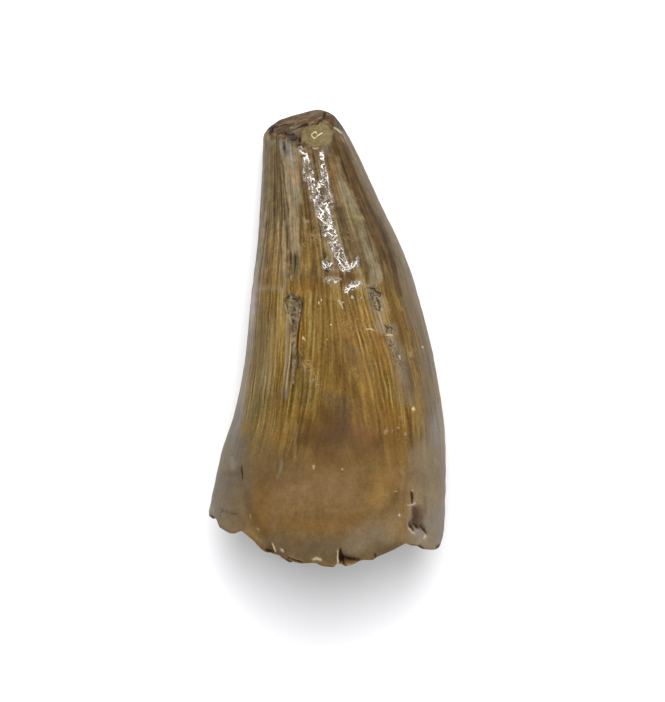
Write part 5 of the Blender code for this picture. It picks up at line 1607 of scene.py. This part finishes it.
    # gloss
    rough = w.math("MULTIPLY_ADD", about["mottle"], 0.22, 0.42)
    rough = w.math("MULTIPLY_ADD", lower, 0.12, rough)
    rough = w.math("MULTIPLY_ADD", w.math("MAXIMUM", matrix_at, flake_at), 0.35, rough)
    rough = w.math("MULTIPLY_ADD", fracture, 0.28, rough)
    rough = w.math("MULTIPLY_ADD", w.span(hollow, 0.05, 0.2), 0.3, rough)
    rough = w.math("MULTIPLY_ADD", wear, -0.06, rough)
    rough = w.math("MULTIPLY_ADD", wrinkle, -0.06, rough, clamp=True)
    w.put(shader.inputs["Roughness"], rough)

    # fine relief, heights in mm
    height = w.math("MULTIPLY", fine, 0.008)
    height = w.math("MULTIPLY_ADD", grit, 0.004, height)
    height = w.math("MULTIPLY_ADD", w.math("MULTIPLY", hair, w.math("SUBTRACT", 1.15, lower)), 0.010, height)
    height = w.math("MULTIPLY_ADD", w.math("MULTIPLY", layer, fracture), 0.010, height)
    height = w.math("MULTIPLY_ADD", matrix_at, w.math("MULTIPLY", mottle, 0.06), height)
    bump = tree.nodes.new("ShaderNodeBump")
    bump.inputs["Strength"].default_value = 1.0
    bump.inputs["Distance"].default_value = 0.001
    w.put(bump.inputs["Height"], height)
    w.put(shader.inputs["Normal"], bump.outputs[0])
    swell = w.math("MULTIPLY", welt, 0.030)
    swell = w.math("MULTIPLY_ADD", w.noise(place, 1.5, 1), 0.12, swell)
    swell = w.math("MULTIPLY_ADD", fine, 0.016, w.math("MULTIPLY", swell, wrinkle))
    coat_bump = tree.nodes.new("ShaderNodeBump")
    coat_bump.inputs["Strength"].default_value = 1.0
    coat_bump.inputs["Distance"].default_value = 0.001
    w.put(coat_bump.inputs["Height"], swell)
    shader.inputs["IOR"].default_value = 1.50
    shader.inputs["Specular IOR Level"].default_value = 0.30
    w.put(shader.inputs["Coat Weight"], w.math("MULTIPLY", wrinkle, welt))
    shader.inputs["Coat Roughness"].default_value = 0.08
    shader.inputs["Coat IOR"].default_value = 5.0
    w.put(shader.inputs["Coat Normal"], coat_bump.outputs[0])
    shader.inputs["Subsurface Weight"].default_value = 0.12
    shader.inputs["Subsurface Radius"].default_value = (1.0, 0.55, 0.22)
    shader.inputs["Subsurface Scale"].default_value = 0.0004
    return mat


mesh.materials.append(tooth_material())
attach(tooth, "root")
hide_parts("tooth")


# ---------------------------------------------------------------- floor, light, camera
def floor_material():
    mat = bpy.data.materials.new("pale_floor")
    mat.use_nodes = True
    w = Weave(mat.node_tree)
    shader = mat.node_tree.nodes["Principled BSDF"]
    where = mat.node_tree.nodes.new("ShaderNodeTexCoord").outputs["Object"]
    # It is lit past white, so what it throws back on the tooth is held down.
    seen = mat.node_tree.nodes.new("ShaderNodeLightPath").outputs["Is Camera Ray"]
    w.put(shader.inputs["Base Color"],
          w.mix(seen, (0.46, 0.46, 0.46, 1),
                w.mix(w.noise(where, 40.0, 3, 0.5), (0.795, 0.797, 0.805, 1), (0.805, 0.805, 0.81, 1))))
    shader.inputs["Roughness"].default_value = 0.9
    shader.inputs["Specular IOR Level"].default_value = 0.0
    return mat


half = 1.5
floor_mesh = bpy.data.meshes.new("floor")
floor_mesh.from_pydata(
    [(-half, -half, 0), (half, -half, 0), (half, half, 0), (-half, half, 0)], [], [(0, 1, 2, 3)]
)
floor_mesh.materials.append(floor_material())
floor = bpy.data.objects.new("floor", floor_mesh)
bpy.context.scene.collection.objects.link(floor)

world = bpy.data.worlds.new("studio")
bpy.context.scene.world = world
world.use_nodes = True
sky = Weave(world.node_tree)
background = world.node_tree.nodes["Background"]
look = world.node_tree.nodes.new("ShaderNodeTexCoord").outputs["Generated"]
split = world.node_tree.nodes.new("ShaderNodeSeparateXYZ")
world.node_tree.links.new(look, split.inputs[0])
dim = sky.span(split.outputs["Z"], 0.45, 0.92, 1.0, 0.0)
sky.put(background.inputs["Color"], sky.mix(dim, (0.30, 0.30, 0.31, 1), (1.13, 1.14, 1.16, 1)))
# Around the white floor the studio itself is dim, so little of it shows in the gloss.
mirrored = world.node_tree.nodes.new("ShaderNodeLightPath").outputs["Is Glossy Ray"]
sky.put(background.inputs["Strength"], sky.span(mirrored, 0.0, 1.0, 1.0, 0.28, "LINEAR"))


def lamp(name, azimuth, zenith, distance, size_x, size_y, power, colour=(1, 1, 1)):
    """A rectangular lamp aimed at the tooth's middle. Azimuth is from +Y towards +X."""
    a, z = math.radians(azimuth), math.radians(zenith)
    toward = np.array([math.sin(a) * math.sin(z), math.cos(a) * math.sin(z), math.cos(z)])
    data = bpy.data.lights.new(name, "AREA")
    data.shape = "RECTANGLE"
    data.size, data.size_y = size_x, size_y
    data.energy = power
    data.color = colour
    ob = bpy.data.objects.new(name, data)
    middle = np.array([0.0, 0.0, 0.005])
    # The lamp's -Z points at the tooth and its X lies level.
    back = Vector(toward)
    side = Vector((0, 0, 1)).cross(back).normalized()
    turned = Matrix((side, back.cross(side), back)).transposed().to_4x4()
    ob.matrix_world = Matrix.Translation(middle + toward * distance) @ turned
    bpy.context.scene.collection.objects.link(ob)
    return ob


key = lamp("soft_key", 4, 20, 0.40, 0.13, 0.20, 0.60)
key.visible_glossy = False
# The same light again for the floor alone, which keeps it white up to the tooth's sides.
floor_key = lamp("floor_key", 4, 21, 0.40, 0.24, 0.29, 1.52)
floor_key.visible_glossy = False
only_floor = bpy.data.collections.new("only_floor")
only_floor.objects.link(floor)
floor_key.light_linking.receiver_collection = only_floor
# A small lamp that only the gloss shows.
glint = lamp("glint", 16, 54, 0.30, 0.17, 0.18, 0.27, (1.0, 0.955, 0.88))
glint.visible_diffuse = False

camera_data = bpy.data.cameras.new("camera")
camera_data.sensor_fit = "VERTICAL"
camera_data.sensor_height = 36.0
camera_data.lens = 36.0 * EYE / (702 * PIXEL)
camera_data.clip_start = 0.01
camera = bpy.data.objects.new("camera", camera_data)
camera.location = (
    (MIDDLE[0] + SHIFT[0]) * MM, (MIDDLE[1] + SHIFT[1]) * MM, (EYE + LEVEL) * MM
)
bpy.context.scene.collection.objects.link(camera)
bpy.context.scene.camera = camera
bpy.context.scene.view_settings.view_transform = "Standard"
